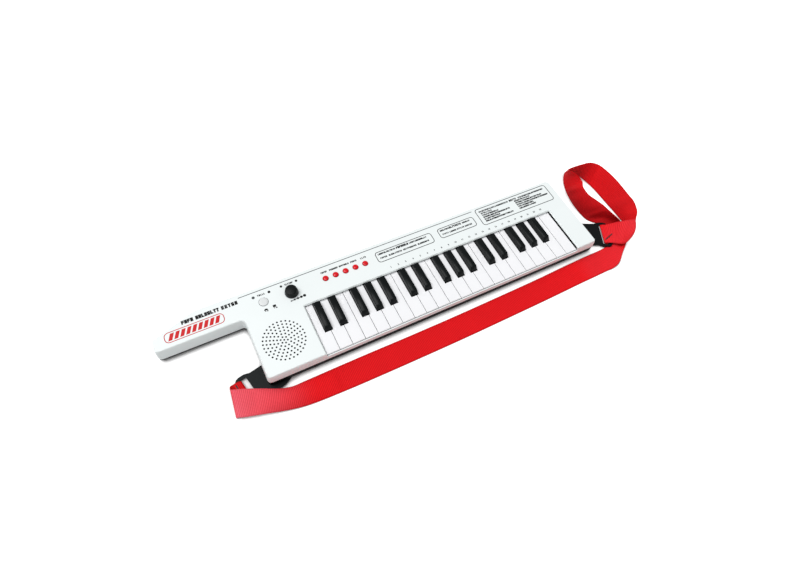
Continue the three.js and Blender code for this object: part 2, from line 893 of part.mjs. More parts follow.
function contactStrip() {
  const base = box(
    [keyGap, stripY0, stripBottom],
    [keyboardWidth - keyGap, stripY1, stripBottom + stripBase],
  );
  const dome = (x, y) => {
    const geometry = new THREE.CylinderGeometry(
      domeTopRadius,
      domeBaseRadius,
      domeTop - stripBottom,
      domeSides,
    );
    geometry.rotateX(Math.PI / 2);
    geometry.translate(x, y, (domeTop + stripBottom) / 2);
    return solid(geometry);
  };
  const whites = Array.from({ length: whiteCount }, (_, i) =>
    dome((i + 1 / 2) * keyPitch, whiteDomeY),
  );
  const blacks = blackCentres.map((x) => dome(x, blackDomeY));
  return joined([base, ...whites, ...blacks]);
}

// Electronics

const switchWidth = 6;
const switchHeight = 2;
const chipWidth = 18;
const chipDepth = 12;
const chipHeight = 2.4;
const chipShares = [0.495, 0.44];

function mainBoard() {
  const board = box(
    [boardX0, boardY0, boardTop - boardThickness],
    [boardX1, boardY1, boardTop],
  );
  const block = (x, y, width, depth, height) =>
    box(
      [x - width / 2, y - depth / 2, boardTop - boardThickness / 2],
      [x + width / 2, y + depth / 2, boardTop + height],
    );
  return joined([
    board,
    ...buttonPlaces.map((x) => block(x, buttonRowY, switchWidth, switchWidth, switchHeight)),
    block(powerX, buttonRowY, 2 * switchWidth, 2 * switchWidth, switchHeight),
    block(...onBoard(chipShares), chipWidth, chipDepth, chipHeight),
  ]);
}

function volumePot() {
  const bottom = boardTop + seat;
  return turned(
    knobX,
    knobY,
    [
      [0, bottom],
      [potRadius, bottom],
      [potRadius, bottom + potHeight],
      [shaftRadius, bottom + potHeight],
      [shaftRadius, shaftTop],
      [0, shaftTop],
    ],
    20,
  );
}

function volumeKnob() {
  const bottom = coverTop + knobLift;
  const top = bottom + knobHeight;
  const bore = shaftRadius + seat;
  return turned(
    knobX,
    knobY,
    [
      [bore, bottom],
      [knobRadius, bottom],
      [knobRadius, bottom + knobEdge],
      [knobTopRadius + knobEdge / 2, top - 2 * knobEdge],
      [knobTopRadius, top - knobEdge / 2],
      [knobTopRadius - knobEdge, top],
      [0, top],
      [0, shaftTop + seat],
      [bore, shaftTop + seat],
      [bore, bottom],
    ],
    32,
  );
}

function pushButton(x, radius, proud, stemRadius, stemBottom, sides) {
  const flangeTop = coverUnderside - controlGap;
  const top = coverTop + proud;
  return turned(
    x,
    buttonRowY,
    [
      [0, stemBottom],
      [stemRadius, stemBottom],
      [stemRadius, flangeTop - flangeThickness],
      [radius + flangeOut, flangeTop - flangeThickness],
      [radius + flangeOut, flangeTop],
      [radius, flangeTop],
      [radius, top - proud / 2],
      [radius * capRimShare, top - proud / 6],
      [radius * capCrownShare, top],
      [0, top],
    ],
    sides,
  );
}

function speaker() {
  const rim = coverUnderside - controlGap;
  const coneRadius = speakerRadius * speakerConeShare;
  const capRadius = speakerRadius * speakerCapShare;
  return turned(
    speakerX,
    speakerY,
    [
      [0, speakerMagnetBottom],
      [speakerMagnetRadius, speakerMagnetBottom],
      [speakerMagnetRadius, speakerMagnetTop],
      [speakerNeckRadius, speakerMagnetTop],
      [coneRadius, rim - speakerFlange],
      [speakerRadius, rim - speakerFlange],
      [speakerRadius, rim],
      [coneRadius, rim],
      [capRadius, rim - speakerConeDepth],
      [capRadius / 2, rim - speakerConeDepth + speakerFlange],
      [0, rim - speakerConeDepth + 2 * speakerFlange],
    ],
    speakerSides,
  );
}

function micJack() {
  const backFace = bodyDepth + skinOut(jackZ);
  const bodyBack = backFace - 2 * wall;
  const block = box(
    [jackX - jackBodyWidth / 2, bodyBack - jackBodyDepth, boardTop + seat],
    [jackX + jackBodyWidth / 2, bodyBack, boardTop + seat + jackBodyHeight],
  );
  const collar = barAlongY(jackX, jackZ, jackCollarRadius, bodyBack - wall, backFace - seat, 12);
  const bore = barAlongY(
    jackX,
    jackZ,
    jackBoreRadius,
    backFace - jackBoreDepth,
    backFace + overrun,
    10,
  );
  return block.add(collar).subtract(bore);
}

// Lugs and their screws

function strapLug({ x, y, angle }) {
  const loopHalf = lugLoopWidth / 2;
  const plateHalf = lugPlateWidth / 2;
  const end = lugSlotInner + lugSlotLength + lugBar;
  const outline = roundedOutline(
    [
      { x: -lugEndRadius, y: -lugEndRadius, r: lugEndRadius * lugPivotCornerShare },
      { x: lugEndRadius, y: -plateHalf, r: lugEndRadius },
      { x: lugShoulder, y: -plateHalf, r: lugLoopCorner / 2 },
      { x: lugShoulder + lugLoopCorner, y: -loopHalf, r: lugLoopCorner / 2 },
      { x: end, y: -loopHalf, r: lugLoopCorner },
      { x: end, y: loopHalf, r: lugLoopCorner },
      { x: lugShoulder + lugLoopCorner, y: loopHalf, r: lugLoopCorner / 2 },
      { x: lugShoulder, y: plateHalf, r: lugLoopCorner / 2 },
      { x: lugEndRadius, y: plateHalf, r: lugEndRadius },
      { x: -lugEndRadius, y: lugEndRadius, r: lugEndRadius * lugPivotCornerShare },
    ],
    0,
    3,
  );
  const plate = lofted([
    { z: lugBottom, points: outline },
    { z: lugTop, points: outline },
  ]);
  const slot = box(
    [lugSlotInner, -lugSlotWidth / 2, lugBottom - overrun],
    [lugSlotInner + lugSlotLength, lugSlotWidth / 2, lugTop + overrun],
  );
  const bore = post(0, 0, lugBoreRadius, lugBottom - overrun, lugTop + overrun, 12);
  const counterbore = post(
    0,
    0,
    lugCounterboreRadius,
    lugBottom - overrun,
    lugBottom + lugCounterboreDepth,
    16,
  );
  const relief = box(
    [lugSlotInner, -lugSlotWidth / 2, lugBottom - overrun],
    [end + overrun, lugSlotWidth / 2, lugTop - lugBarThickness],
  );
  return plate
    .subtract(slot)
    .subtract(relief)
    .subtract(bore)
    .subtract(counterbore)
    .rotate([0, 0, THREE.MathUtils.radToDeg(angle)])
    .translate([x, y, 0]);
}

function lugScrew({ x, y }) {
  const headTop = lugBottom + lugCounterboreDepth - seat;
  return turned(
    x,
    y,
    [
      [0, lugBottom],
      [lugScrewHead, lugBottom],
      [lugScrewHead, headTop],
      [lugScrewShaft, headTop],
      [lugScrewShaft, lugScrewTop],
      [0, lugScrewTop],
    ],
    16,
  );
}

// Webbing strap

const strapWidth = 38;
const strapSlack = 0.8; // width lost before the webbing arches
const strapThickness = 1.2;
const strapRest = 0.7; // the webbing's middle above the table, where it lies flat
const strapAcross = 3; // strips across the webbing
const strapArchShare = 2 / 9; // its highest arch, of its width
// The strap's two edges along its run, from its tail over the left lug's bar, along the
// front, round the loop on the right and into the right lug: x, y, z of one edge, then of
// the other, and which way the webbing arches between them.
const strapStations = [
  [-129.9, 19.9, 5.7, -121.7, -17.2, 5.7, 1],
  [-126.5, 20.7, 5.7, -118.3, -16.4, 5.7, 1],
  [-122.2, 21.6, 5.7, -114, -15.5, 5.7, 1],
  [-121, 21.9, 5.2, -112.8, -15.2, 5.2, 1],
  [-120.5, 22, 4, -112.3, -15.1, 4, 1],
  [-121, 21.9, 2.7, -112.8, -15.2, 2.7, 1],
  [-122.2, 21.6, 2.2, -114, -15.5, 2.2, 1],
  [-128.9, 20.1, 2.2, -120.7, -17, 2.2, 1],
  [-134.1, 18, 0.9, -128.9, -19.4, 0.9, 1],
  [-134.7, 19.6, 0.7, -139.9, -24.7, 0.7, 1],
  [-135.9, 19.6, 1.6, -141.6, -24.7, 1, 1],
  [-136.2, 19.6, 3.4, -141.9, -24.7, 1.9, 1],
  [-135.4, 19.5, 5.4, -141.4, -24.7, 2.9, 1],
  [-132.7, 18.4, 6.7, -139.4, -25.2, 3.4, 1],
  [-128.8, 12.7, 7.7, -133.2, -28.4, 5.6, 1],
  [-116, 6.8, 7.7, -122.4, -31.9, 6.8, 1],
  [-97.7, -1.4, 7, -104.8, -36.6, 5.6, 1],
  [-75.6, -11.4, 6, -84.4, -41.8, 3.6, 1],
  [-59.8, -14.9, 3.5, -63.4, -46.2, 1.8, 1],
  [-39, -14.3, 1.2, -42.6, -48.9, 0.9, 1],
  [12, -13.8, 0.7, 10, -51.2, 0.7, 1],
  [60, -13.9, 0.7, 58, -52, 0.7, 1],
  [120, -14.4, 0.7, 120, -52.4, 0.7, 1],
  [200, -14.4, 0.7, 200, -52.4, 0.7, 1],
  [280, -13.4, 0.7, 280, -51.4, 0.7, 1],
  [360, -12, 0.7, 360, -50, 0.7, 1],
  [430, -9.8, 1.2, 428, -48.2, 0.7, 0],
  [462, -9.1, 1.4, 456, -47.8, 0.7, 0],
  [490, -8.8, 1, 480, -47.3, 0.8, 0],
  [507, -7.5, 0.7, 492.3, -47.4, 1.6, 0],
  [517, -3, 0.7, 507.5, -44.1, 2.6, 0],
  [525, 4, 0.7, 527.5, -29.3, 4, 0],
  [531, 13, 0.7, 548.5, -13.1, 6.2, 0],
  [533, 25, 0.7, 556, 1.2, 11.5, -1],
  [531, 34.5, 0.7, 552, 20.4, 19.5, -1.15],
  [519.5, 46.5, 0.7, 547.9, 30, 22.5, -1.15],
  [514, 55, 0.7, 544.5, 41.5, 24, -1],
  [512, 68, 0.7, 539.9, 55.6, 26.5, 1],
  [512, 84, 0.7, 530.6, 70.5, 30.5, 1],
  [513.5, 99, 0.7, 523.2, 81.8, 34, 1],
  [517, 115, 0.7, 522.9, 97.2, 36, 1],
  [522.5, 130, 0.7, 529.4, 112.5, 36, 1],
  [529.5, 143.5, 0.7, 537.7, 123, 34.5, 1],
  [537.5, 153, 0.8, 548.8, 131.8, 32.5, 1],
  [546, 160.5, 1, 562.7, 139.4, 30, 1],
  [554, 164.5, 1.2, 578.9, 142.6, 28, 1],
  [561, 161.2, 1.3, 587.6, 138.6, 26.5, 1],
  [565.5, 154.5, 1.3, 593.3, 131.4, 25.3, 1],
  [567.8, 143, 1.1, 596.5, 121, 24.4, 1],
  [569.3, 127, 0.9, 599.7, 105.5, 23.7, 1],
  [570.3, 108, 0.7, 599.6, 98.5, 23.2, 1],
  [571, 86, 0.7, 600.3, 76.5, 23.2, 1],
  [571.5, 66, 0.7, 600.8, 56.5, 23.2, 1],
  [572, 50, 0.7, 599.9, 43.5, 23.4, 1],
  [571.8, 36, 0.7, 594.5, 30.4, 24.3, 1],
  [570.3, 16.8, 2, 587.4, 19.5, 25.3, 1],
  [566.1, 1.3, 4.5, 578.4, 12.4, 26.3, 1],
  [550.1, -12.9, 9.3, 572.2, 9.1, 27.5, 1],
  [536.2, -19, 10.6, 567.6, 7.8, 29.5, 1],
  [528.5, -16.4, 11, 559, 10.8, 28.5, 1],
  [524.8, -12.2, 8.6, 549.6, 15, 25, 1],
  [522.8, -9.4, 7.4, 544.4, 21.1, 17, 1],
  [520.1, -7.2, 6.1, 536.6, 27.1, 6.8, 1],
  [516.1, -5.3, 5.7, 532.2, 29.1, 5.7, 1],
  [515, -4.8, 5.2, 531, 29.7, 5.2, 1],
  [514.5, -4.6, 4, 530.6, 29.9, 4, 1],
  [515, -4.8, 2.7, 531, 29.7, 2.7, 1],
  [516.1, -5.3, 2.2, 532.2, 29.1, 2.2, 1],
  [520.5, -7.4, 2.2, 536.6, 27.1, 2.2, 1],
];

// Points across the webbing at one station: its arch takes up the width that the two
// edges leave over.
function strapAcrossPoints(station, along) {
  const left = new THREE.Vector3(...station.slice(0, 3));
  const right = new THREE.Vector3(...station.slice(3, 6));
  const across = right.clone().sub(left);
  const square = across.clone().addScaledVector(along, -across.dot(along)).length();
  const spare = Math.max(strapWidth - strapSlack - square, 0);
  const highest = strapWidth * strapArchShare;
  const rise = Math.min(Math.sqrt((3 / 8) * square * spare), highest) * station[6];
  const up = along.clone().cross(across).normalize();
  if (up.z < 0) up.negate();
  return Array.from({ length: strapAcross + 1 }, (_, k) => {
    const share = k / strapAcross;
    const lift = 4 * rise * share * (1 - share);
    const point = left.clone().addScaledVector(across, share).addScaledVector(up, lift);
    point.z = Math.max(point.z, strapRest);
    return point;
  });
}

function strap() {
  const centres = strapStations.map(
    ([x0, y0, z0, x1, y1, z1]) =>
      new THREE.Vector3((x0 + x1) / 2, (y0 + y1) / 2, (z0 + z1) / 2),
  );
  const last = centres.length - 1;
  const rows = strapStations.map((station, i) => {
    const along = centres[Math.min(i + 1, last)].clone().sub(centres[Math.max(i - 1, 0)]);
    return strapAcrossPoints(station, along.normalize());
  });
  const half = strapThickness / 2;
  const ring = rows.map((row, i) => {
    const faces = row.map((point, k) => {
      const along = rows[Math.min(i + 1, last)][k].clone().sub(rows[Math.max(i - 1, 0)][k]);
      const across = row[Math.min(k + 1, strapAcross)].clone().sub(row[Math.max(k - 1, 0)]);
      return along.cross(across).normalize().multiplyScalar(half);
    });
    const upper = row.map((point, k) => point.clone().add(faces[k]));
    const lower = row.map((point, k) => point.clone().sub(faces[k]));
    return [...upper, ...lower.reverse()];
  });
  const around = ring[0].length;
  const index = [];
  const quad = (a, b, c, d) => index.push(a, b, c, a, c, d);
  for (let i = 0; i < last; i += 1) {
    for (let k = 0; k < around; k += 1) {
      const next = (k + 1) % around;
      const here = i * around;
      const there = here + around;
      // both faces of the webbing are cut along the same diagonal
      if (k > strapAcross) quad(there + k, there + next, here + next, here + k);
      else quad(here + k, there + k, there + next, here + next);
    }
  }
  for (let k = 0; k < strapAcross; k += 1) {
    const end = last * around;
    quad(k, k + 1, around - 2 - k, around - 1 - k);
    quad(end + k, end + around - 1 - k, end + around - 2 - k, end + k + 1);
  }
  const positions = ring.flat().flatMap((p) => p.toArray());
  const geometry = new THREE.BufferGeometry()
    .setAttribute("position", new THREE.Float32BufferAttribute(positions, 3))
    .setIndex(index);
  return solid(geometry);
}

// Assembly

addPiece("top_cover", topCover(), whiteShell);
addPiece("lower_case", lowerCase(), blackShell);
addPiece("battery_door", batteryDoor(), blackShell);
addPiece("key_frame", keyFrame(), whiteShell);
addPiece("key_axle", keyAxle(), steel);
addPiece("key_contact_board", contactBoard(), circuitBoard);
addPiece("rubber_contact_strip", contactStrip(), greyRubber);
addPiece("main_board", mainBoard(), circuitBoard);
addPiece("volume_pot", volumePot(), steel);
addPiece("volume_knob", volumeKnob(), blackShell);
addPiece("speaker", speaker(), blackPaper);
addPiece("mic_jack", micJack(), blackShell);

const number = (i) => String(i + 1).padStart(2, "0");
for (let i = 0; i < whiteCount; i += 1) {
  addPiece("white_key_" + number(i), whiteKey(i), whiteKeyPlastic);
}
blackCentres.forEach((centre, i) =>
  addPiece("black_key_" + number(i), blackKey(centre), blackKeyPlastic),
);
const switchTop = boardTop + switchHeight;
buttonPlaces.forEach((x, i) =>
  addPiece(
    "function_button_" + (i + 1),
    pushButton(x, buttonRadius, buttonProud, buttonStemRadius, switchTop + buttonStemGap, 14),
    redPlastic,
  ),
);
addPiece(
  "power_button",
  pushButton(powerX, powerRadius, powerProud, powerStemRadius, switchTop + powerStemGap, 24),
  whiteShell,
);
lugs.forEach((lug) => {
  addPiece("strap_lug_" + lug.name, strapLug(lug), blackShell);
  addPiece("lug_screw_" + lug.name, lugScrew(lug), steel);
});

// The instrument is centred over the origin, measured without its strap.
const bounds = new THREE.Box3().setFromObject(instrument);
const middle = bounds.getCenter(new THREE.Vector3());
instrument.position.set(-middle.x, -middle.y, 0);
addPiece("strap", strap(), redWebbing);

const keytar = new THREE.Group();
keytar.add(instrument);

export default keytar;
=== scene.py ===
# The keytar's looks: its strap, finishes, prints and small fittings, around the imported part.
import json
import math

import bmesh
import bpy
from mathutils import Matrix, Vector

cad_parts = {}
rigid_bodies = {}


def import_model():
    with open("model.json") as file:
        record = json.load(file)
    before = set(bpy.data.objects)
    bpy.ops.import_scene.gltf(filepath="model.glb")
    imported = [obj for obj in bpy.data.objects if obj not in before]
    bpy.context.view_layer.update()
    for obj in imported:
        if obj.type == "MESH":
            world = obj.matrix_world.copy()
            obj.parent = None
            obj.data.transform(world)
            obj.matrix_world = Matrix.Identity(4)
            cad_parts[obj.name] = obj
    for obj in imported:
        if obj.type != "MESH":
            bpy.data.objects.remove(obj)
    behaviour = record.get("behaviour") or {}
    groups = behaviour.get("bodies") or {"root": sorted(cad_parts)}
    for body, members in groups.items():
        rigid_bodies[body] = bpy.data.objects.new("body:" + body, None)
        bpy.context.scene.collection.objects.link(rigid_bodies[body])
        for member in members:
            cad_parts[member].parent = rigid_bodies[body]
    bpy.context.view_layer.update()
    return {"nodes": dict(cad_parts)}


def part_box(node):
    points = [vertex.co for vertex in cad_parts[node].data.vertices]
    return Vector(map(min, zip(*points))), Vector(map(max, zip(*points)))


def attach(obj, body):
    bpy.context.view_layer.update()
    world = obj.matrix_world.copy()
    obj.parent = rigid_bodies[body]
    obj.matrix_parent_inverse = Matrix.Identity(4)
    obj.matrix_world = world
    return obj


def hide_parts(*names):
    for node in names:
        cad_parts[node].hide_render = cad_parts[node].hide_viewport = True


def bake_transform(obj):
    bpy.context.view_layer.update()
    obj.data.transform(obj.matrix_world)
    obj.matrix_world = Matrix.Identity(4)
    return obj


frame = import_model()
nodes = frame["nodes"]
scene = bpy.context.scene
mm = 0.001
weldDistance = 0.001 * mm
print("frame loaded:", len(nodes), "nodes")

# Places are in millimetres from the left end of the keys, at their fronts, on the table.
keySideGap = 0.3
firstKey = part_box("white_key_01")[0]
drawingOrigin = Vector((firstKey.x - keySideGap * mm, firstKey.y, 0))


def place(x, y, z):
    return drawingOrigin + Vector((x, y, z)) * mm


def addObject(name, data, *materials):
    piece = bpy.data.objects.new(name, data)
    scene.collection.objects.link(piece)
    for material in materials:
        data.materials.append(material)
    return piece


# Camera, where the photograph was taken from

camera = {
    "place": (-81.892, -264.33, 688.87),
    "right": (0.891875, -0.446681, 0.070959),
    "up": (0.359056, 0.794672, 0.489464),
    "back": (-0.275023, -0.411062, 0.869132),
    "lens": 23.219,
    "sensor": 36,
    "clip": (0.01, 20),  # in metres
}


def addCamera():
    data = bpy.data.cameras.new("photoCamera")
    data.lens = camera["lens"]
    data.sensor_width = camera["sensor"]
    data.clip_start, data.clip_end = camera["clip"]
    scene.camera = addObject("photoCamera", data)
    axes = Matrix([camera["right"], camera["up"], camera["back"]]).transposed()
    scene.camera.matrix_world = Matrix.Translation(place(*camera["place"])) @ axes.to_4x4()


addCamera()

# Node helpers


def colourOf(code):
    # linear light from an sRGB code
    parts = [int(code[i : i + 2], 16) / 255 for i in (1, 3, 5)]
    return [*(c / 12.92 if c <= 0.04045 else ((c + 0.055) / 1.055) ** 2.4 for c in parts), 1]


def feed(tree, node, inputs):
    # an input takes a value, a socket, or a node, whose first output in use is joined to it
    for name, value in inputs.items():
        if isinstance(value, bpy.types.Node):
            value = next(socket for socket in value.outputs if socket.enabled)
        if isinstance(value, bpy.types.NodeSocket):
            tree.links.new(value, node.inputs[name])
        else:
            node.inputs[name].default_value = value


def addNode(tree, kind, settings=None, inputs=None):
    node = tree.nodes.new(kind)
    for name, value in (settings or {}).items():
        setattr(node, name, value)
    feed(tree, node, inputs or {})
    return node


def maths(tree, operation, *values):
    return addNode(tree, "ShaderNodeMath", {"operation": operation}, dict(enumerate(values)))


def mapped(tree, value, low=0, high=1, start=0, end=1):
    # a value that lies between start and end, taken over to between low and high
    ends = {"From Min": start, "From Max": end, "To Min": low, "To Max": high}
    return addNode(tree, "ShaderNodeMapRange", inputs={"Value": value, **ends})


def mixed(tree, share, first, second):
    inputs = {"Factor": share, "A": first, "B": second}
    return addNode(tree, "ShaderNodeMix", {"data_type": "RGBA"}, inputs)


def noise(tree, size, detail):
    # noise in the piece's own space, in blotches of a size in millimetres
    room = addNode(tree, "ShaderNodeTexCoord").outputs["Object"]
    inputs = {"Vector": room, "Scale": 1 / (size * mm), "Detail": detail}
    return addNode(tree, "ShaderNodeTexNoise", inputs=inputs)


def embossed(tree, height, depth, strength):
    # a bump of a depth in millimetres
    inputs = {"Height": height, "Strength": strength, "Distance": depth * mm}
    return addNode(tree, "ShaderNodeBump", inputs=inputs)


def openness(tree, reach, dark, clear, high=1):
    # a mask for painted shade: 0 in a gap, up to high where no surface is near; the reach is in millimetres
    near = addNode(tree, "ShaderNodeAmbientOcclusion", {"samples": 8}, {"Distance": reach * mm})
    return mapped(tree, near.outputs["AO"], 0, high, dark, clear)


def newMaterial(name):
    material = bpy.data.materials.new(name)
    material.use_nodes = True
    return material, material.node_tree, material.node_tree.nodes["Principled BSDF"]


def speckled(name, look, size, detail, roughness):
    # a material of one colour, whose roughness varies in specks of a size in millimetres
    material, tree, shader = newMaterial(name)
    gloss = mapped(tree, noise(tree, size, detail), *roughness)
    feed(tree, shader, {**look, "Roughness": gloss})
    return material


def newGroup(name, sockets):
    # a Geometry Nodes group with a geometry in and out, and named inputs of the given kinds
    group = bpy.data.node_groups.new(name, "GeometryNodeTree")
    for label, kind in {"Geometry": "Geometry", **sockets}.items():
        group.interface.new_socket(label, in_out="INPUT", socket_type="NodeSocket" + kind)
    group.interface.new_socket("Geometry", in_out="OUTPUT", socket_type="NodeSocketGeometry")
    return group, addNode(group, "NodeGroupInput").outputs, addNode(group, "NodeGroupOutput").inputs


def endGroup(group, geometry, material, made):
    # a group that makes a piece ends in real geometry of one material
    whole = addNode(group, "GeometryNodeRealizeInstances", inputs={"Geometry": geometry})
    inputs = {"Geometry": whole, "Material": material}
    dressed = addNode(group, "GeometryNodeSetMaterial", inputs=inputs)
    group.links.new(dressed.outputs["Geometry"], made["Geometry"])
    return group


def sweptGroup(name, section, sizes, finish):
    # a section along the edges of a mesh; its sizes are numbers, or names of inputs of the group
    labels = [size for size in sizes.values() if isinstance(size, str)]
    group, given, made = newGroup(name, {**dict.fromkeys(labels, "Float"), finish: "Material"})
    curve = addNode(group, "GeometryNodeMeshToCurve", inputs={"Mesh": given["Geometry"]})
    sizes = {side: given[size] if size in labels else size for side, size in sizes.items()}
    outline = addNode(group, section, inputs=sizes)
    inputs = {"Curve": curve, "Profile Curve": outline, "Fill Caps": True}
    swept = addNode(group, "GeometryNodeCurveToMesh", inputs=inputs)
    return endGroup(group, swept, given[finish], made)


def runGroup(piece, group, settings):
    modifier = piece.modifiers.new(group.name, "NODES")
    modifier.node_group = group
    for item in group.interface.items_tree:
        if item.name in settings:
            modifier[item.identifier] = settings[item.name]


# Mesh helpers


def plainMesh(piece):
    # the mesh that an object works out to; the object goes
    view = bpy.context.evaluated_depsgraph_get()
    data = bpy.data.meshes.new_from_object(piece.evaluated_get(view))
    bpy.data.objects.remove(piece)
    return data


def grown(name, mesh, group, settings):
    # the plain object that a group makes from a mesh
    seed = addObject(name, mesh)
    runGroup(seed, group, settings)
    data = plainMesh(seed)
    data.name = name
    return addObject(name, data)


def meshFrom(mesh, name):
    data = bpy.data.meshes.new(name)
    mesh.to_mesh(data)
    mesh.free()
    return data


def prism(mesh, below, above):
    # the faces of a closed solid between two rings of points that turn left
    low, high = ([mesh.verts.new(place(*p)) for p in ring] for ring in (below, above))
    sides = zip(low, [*low[1:], low[0]], [*high[1:], high[0]], high)
    return [mesh.faces.new(corners) for corners in (low[::-1], high, *sides)]


def plates(name, outlines, low, high, *materials):
    # flat closed plates between two heights, from outlines of x, y points turning left
    mesh = bmesh.new()
    for outline in outlines:
        prism(mesh, [(x, y, low) for x, y in outline], [(x, y, high) for x, y in outline])
    return addObject(name, meshFrom(mesh, name), *materials)


def polyline(name, runs):
    # runs of x, y, z points as edges alone; a run that ends where it starts is closed
    points, edges = [], []
    for run in runs:
        closed = run[0] == run[-1]
        first, count = len(points), len(run) - closed
        points += [place(*p) for p in run[:count]]
        edges += [(first + i, first + (i + 1) % count) for i in range(count - 1 + closed)]
    data = bpy.data.meshes.new(name)
    data.from_pydata(points, edges, [])
    return data


def arc(x, y, radius, start=0, end=360, steps=24):
    # points on an arc about x, y, between two angles in degrees
    turns = [math.radians(start + (end - start) * i / steps) for i in range(steps + (end - start < 360))]
    return [(x + radius * math.cos(a), y + radius * math.sin(a)) for a in turns]


# Strap: woven polypropylene webbing

webbing = {
    "width": 38,
    "slack": 0.8,  # width lost before the webbing arches
    "highestArch": 38 / 4.5,
    "thickness": 1.2,
    "slitWidth": 1.8,
    "slitFilm": 0.15,
    "rest": 0.7,  # its middle above the table, where it lies flat
    "step": 2.5,  # along the run
    "shortestChord": 0.01,
    "leftEnd": 23,  # stations where one piece ends and the next starts
    "frontEnd": 30,
    "rightStart": 47,
}

# Shares of the width at which the cross section has points, and shares of its thickness there.
acrossShares = (0, 0.006, 0.02, 0.05, 0.12, 0.2, 0.3, 0.4, 0.5, 0.6, 0.7, 0.8, 0.88, 0.95, 0.98, 0.994, 1)
thicknessShares = (0.3, 0.75, 0.95, 1, 1, 1, 1, 1, 1, 1, 1, 1, 1, 1, 0.95, 0.75, 0.3)

# The strap's two edges along its run: x, y, z of one, of the other, and which way it arches.
strapStations = [
    (-132.4, 20.8, 5.7, -121.7, -17.2, 5.7, 1),
    (-126.1, 21.9, 5.7, -118.3, -16.4, 5.7, 1),
    (-122.2, 21.6, 5.7, -114, -15.5, 5.7, 1),
    (-121, 21.9, 5.2, -112.8, -15.2, 5.2, 1),
    (-120.5, 22, 4, -112.3, -15.1, 4, 1),
    (-121, 21.9, 2.7, -112.8, -15.2, 2.7, 1),
    (-122.2, 21.6, 2.2, -114, -15.5, 2.2, 1),
    (-128, 22.9, 2.2, -120.7, -17, 2.2, 1),
    (-132.1, 22.8, 0.9, -128.9, -19.4, 0.9, 0),
    (-135.2, 22.6, 0.7, -139.9, -23.7, 0.7, 0),
    (-136.3, 21.8, 1.6, -141.6, -24.2, 1, 0),
    (-136.7, 18.8, 3.4, -141.9, -24.7, 1.9, 0),
    (-136.3, 16, 5.4, -141.4, -24.9, 2.9, 0),
    (-134.3, 14.2, 6.7, -139.4, -25.3, 3.4, 0.5),
    (-129.1, 11.9, 7.7, -133.2, -28.4, 5.6, 1),
    (-116, 6.8, 7.7, -122.4, -31.9, 6.8, 1),
    (-97.7, -1.4, 7, -104.8, -36.6, 5.6, 1),
    (-75.6, -11.4, 6, -84.4, -41.8, 3.6, 1),
    (-59.8, -14.9, 3.5, -63.4, -46.2, 1.8, 1),
    (-39, -14.3, 1.2, -42.6, -48.9, 0.9, 1),
    (12, -13.8, 0.7, 10, -51.2, 0.7, 1),
    (60, -13.9, 0.7, 58, -52, 0.7, 1),
    (120, -14.4, 0.7, 120, -52.4, 0.7, 1),
    (200, -14.4, 0.7, 200, -52.4, 0.7, 1),
    (280, -13.4, 0.7, 280, -51.4, 0.7, 1),
    (360, -12, 0.7, 360, -50, 0.7, 1),
    (430, -9.8, 1.2, 428, -48.2, 0.7, 0),
    (462, -9.1, 1.4, 456, -47.8, 0.7, 0),
    (490, -8.8, 1, 480, -47.3, 0.8, 0),
    (507, -7.5, 0.7, 492.3, -47.4, 1.6, 0),
    (517, -3, 0.7, 507.5, -44.1, 2.6, 0),
    (525, 4, 0.7, 527.5, -29.3, 4, 0),
    (531, 13, 0.7, 548.5, -13.1, 6.2, 0),
    (533, 25, 0.7, 556, 1.2, 11.5, -1),
    (531, 34.5, 0.7, 552, 20.4, 19.5, -1.15),
    (519.5, 46.5, 0.7, 547.9, 30, 22.5, -1.15),
    (514, 55, 0.7, 544.5, 41.5, 24, -1),
    (512, 68, 0.7, 539.9, 55.6, 26.5, 1),
    (512, 84, 0.7, 530.6, 70.5, 30.5, 1),
    (513.5, 99, 0.7, 523.2, 81.8, 34, 1),
    (517, 115, 0.7, 522.9, 97.2, 36, 1),
    (522, 130.2, 0.7, 534.2, 112.7, 31.1, 0),
    (528.5, 143, 0.7, 532.5, 125.8, 33.4, 0),
    (538.8, 155.5, 0.7, 528.1, 137.4, 32.8, 0),
    (547.1, 160.6, 0.7, 527.9, 145.1, 29.6, 0),
    (554.9, 156.2, 0.7, 533.5, 146.2, 30, 0),
    (561.1, 148.8, 0.7, 542, 145.1, 32.2, 0),
    (565, 138.9, 0.7, 553.5, 142.2, 35.6, 0),
    (567.7, 127.4, 0.7, 570.7, 140.1, 35.5, 0),
    (570, 113.9, 0.7, 588.2, 132.4, 30.3, 1),
    (571.2, 97.9, 0.7, 592.7, 112.1, 30.9, 1),
    (571.4, 80.5, 0.7, 595.5, 89.2, 30.1, 1),
    (571.5, 66, 0.7, 600.8, 56.5, 23.2, 1),
    (572, 50, 0.7, 599.9, 43.5, 23.4, 1),
    (571.8, 36, 0.7, 594.5, 30.4, 24.3, 0.6),
    (570.3, 16.8, 2, 587.4, 19.5, 25.3, 0.3),
    (566.1, 1.3, 4.5, 578.4, 12.4, 26.3, 0.2),
    (550.1, -12.9, 9.3, 572.2, 9.1, 27.5, 0.4),
    (536.2, -19, 10.6, 567.6, 7.8, 29.5, 1),
    (528.5, -16.4, 11, 559, 10.8, 28.5, 1),
    (524.8, -12.2, 8.6, 549.6, 15, 25, 1),
    (522.6, -9.3, 7.4, 544.2, 21.2, 17, 1),
    (516.8, -5.7, 6.6, 533.3, 28.6, 7.2, 1),
    (510.9, -2.9, 6.2, 527, 31.5, 6.2, 1),
    (509.2, -2.1, 5.2, 525.3, 32.4, 5.2, 1),
    (510, -2.5, 4, 526.1, 32, 4, 1),
    (515, -4.8, 2.7, 531, 29.7, 2.7, 1),
    (516.1, -5.3, 2.2, 532.2, 29.1, 2.2, 1),
    (520.5, -7.4, 2.2, 536.6, 27.1, 2.2, 1),
]
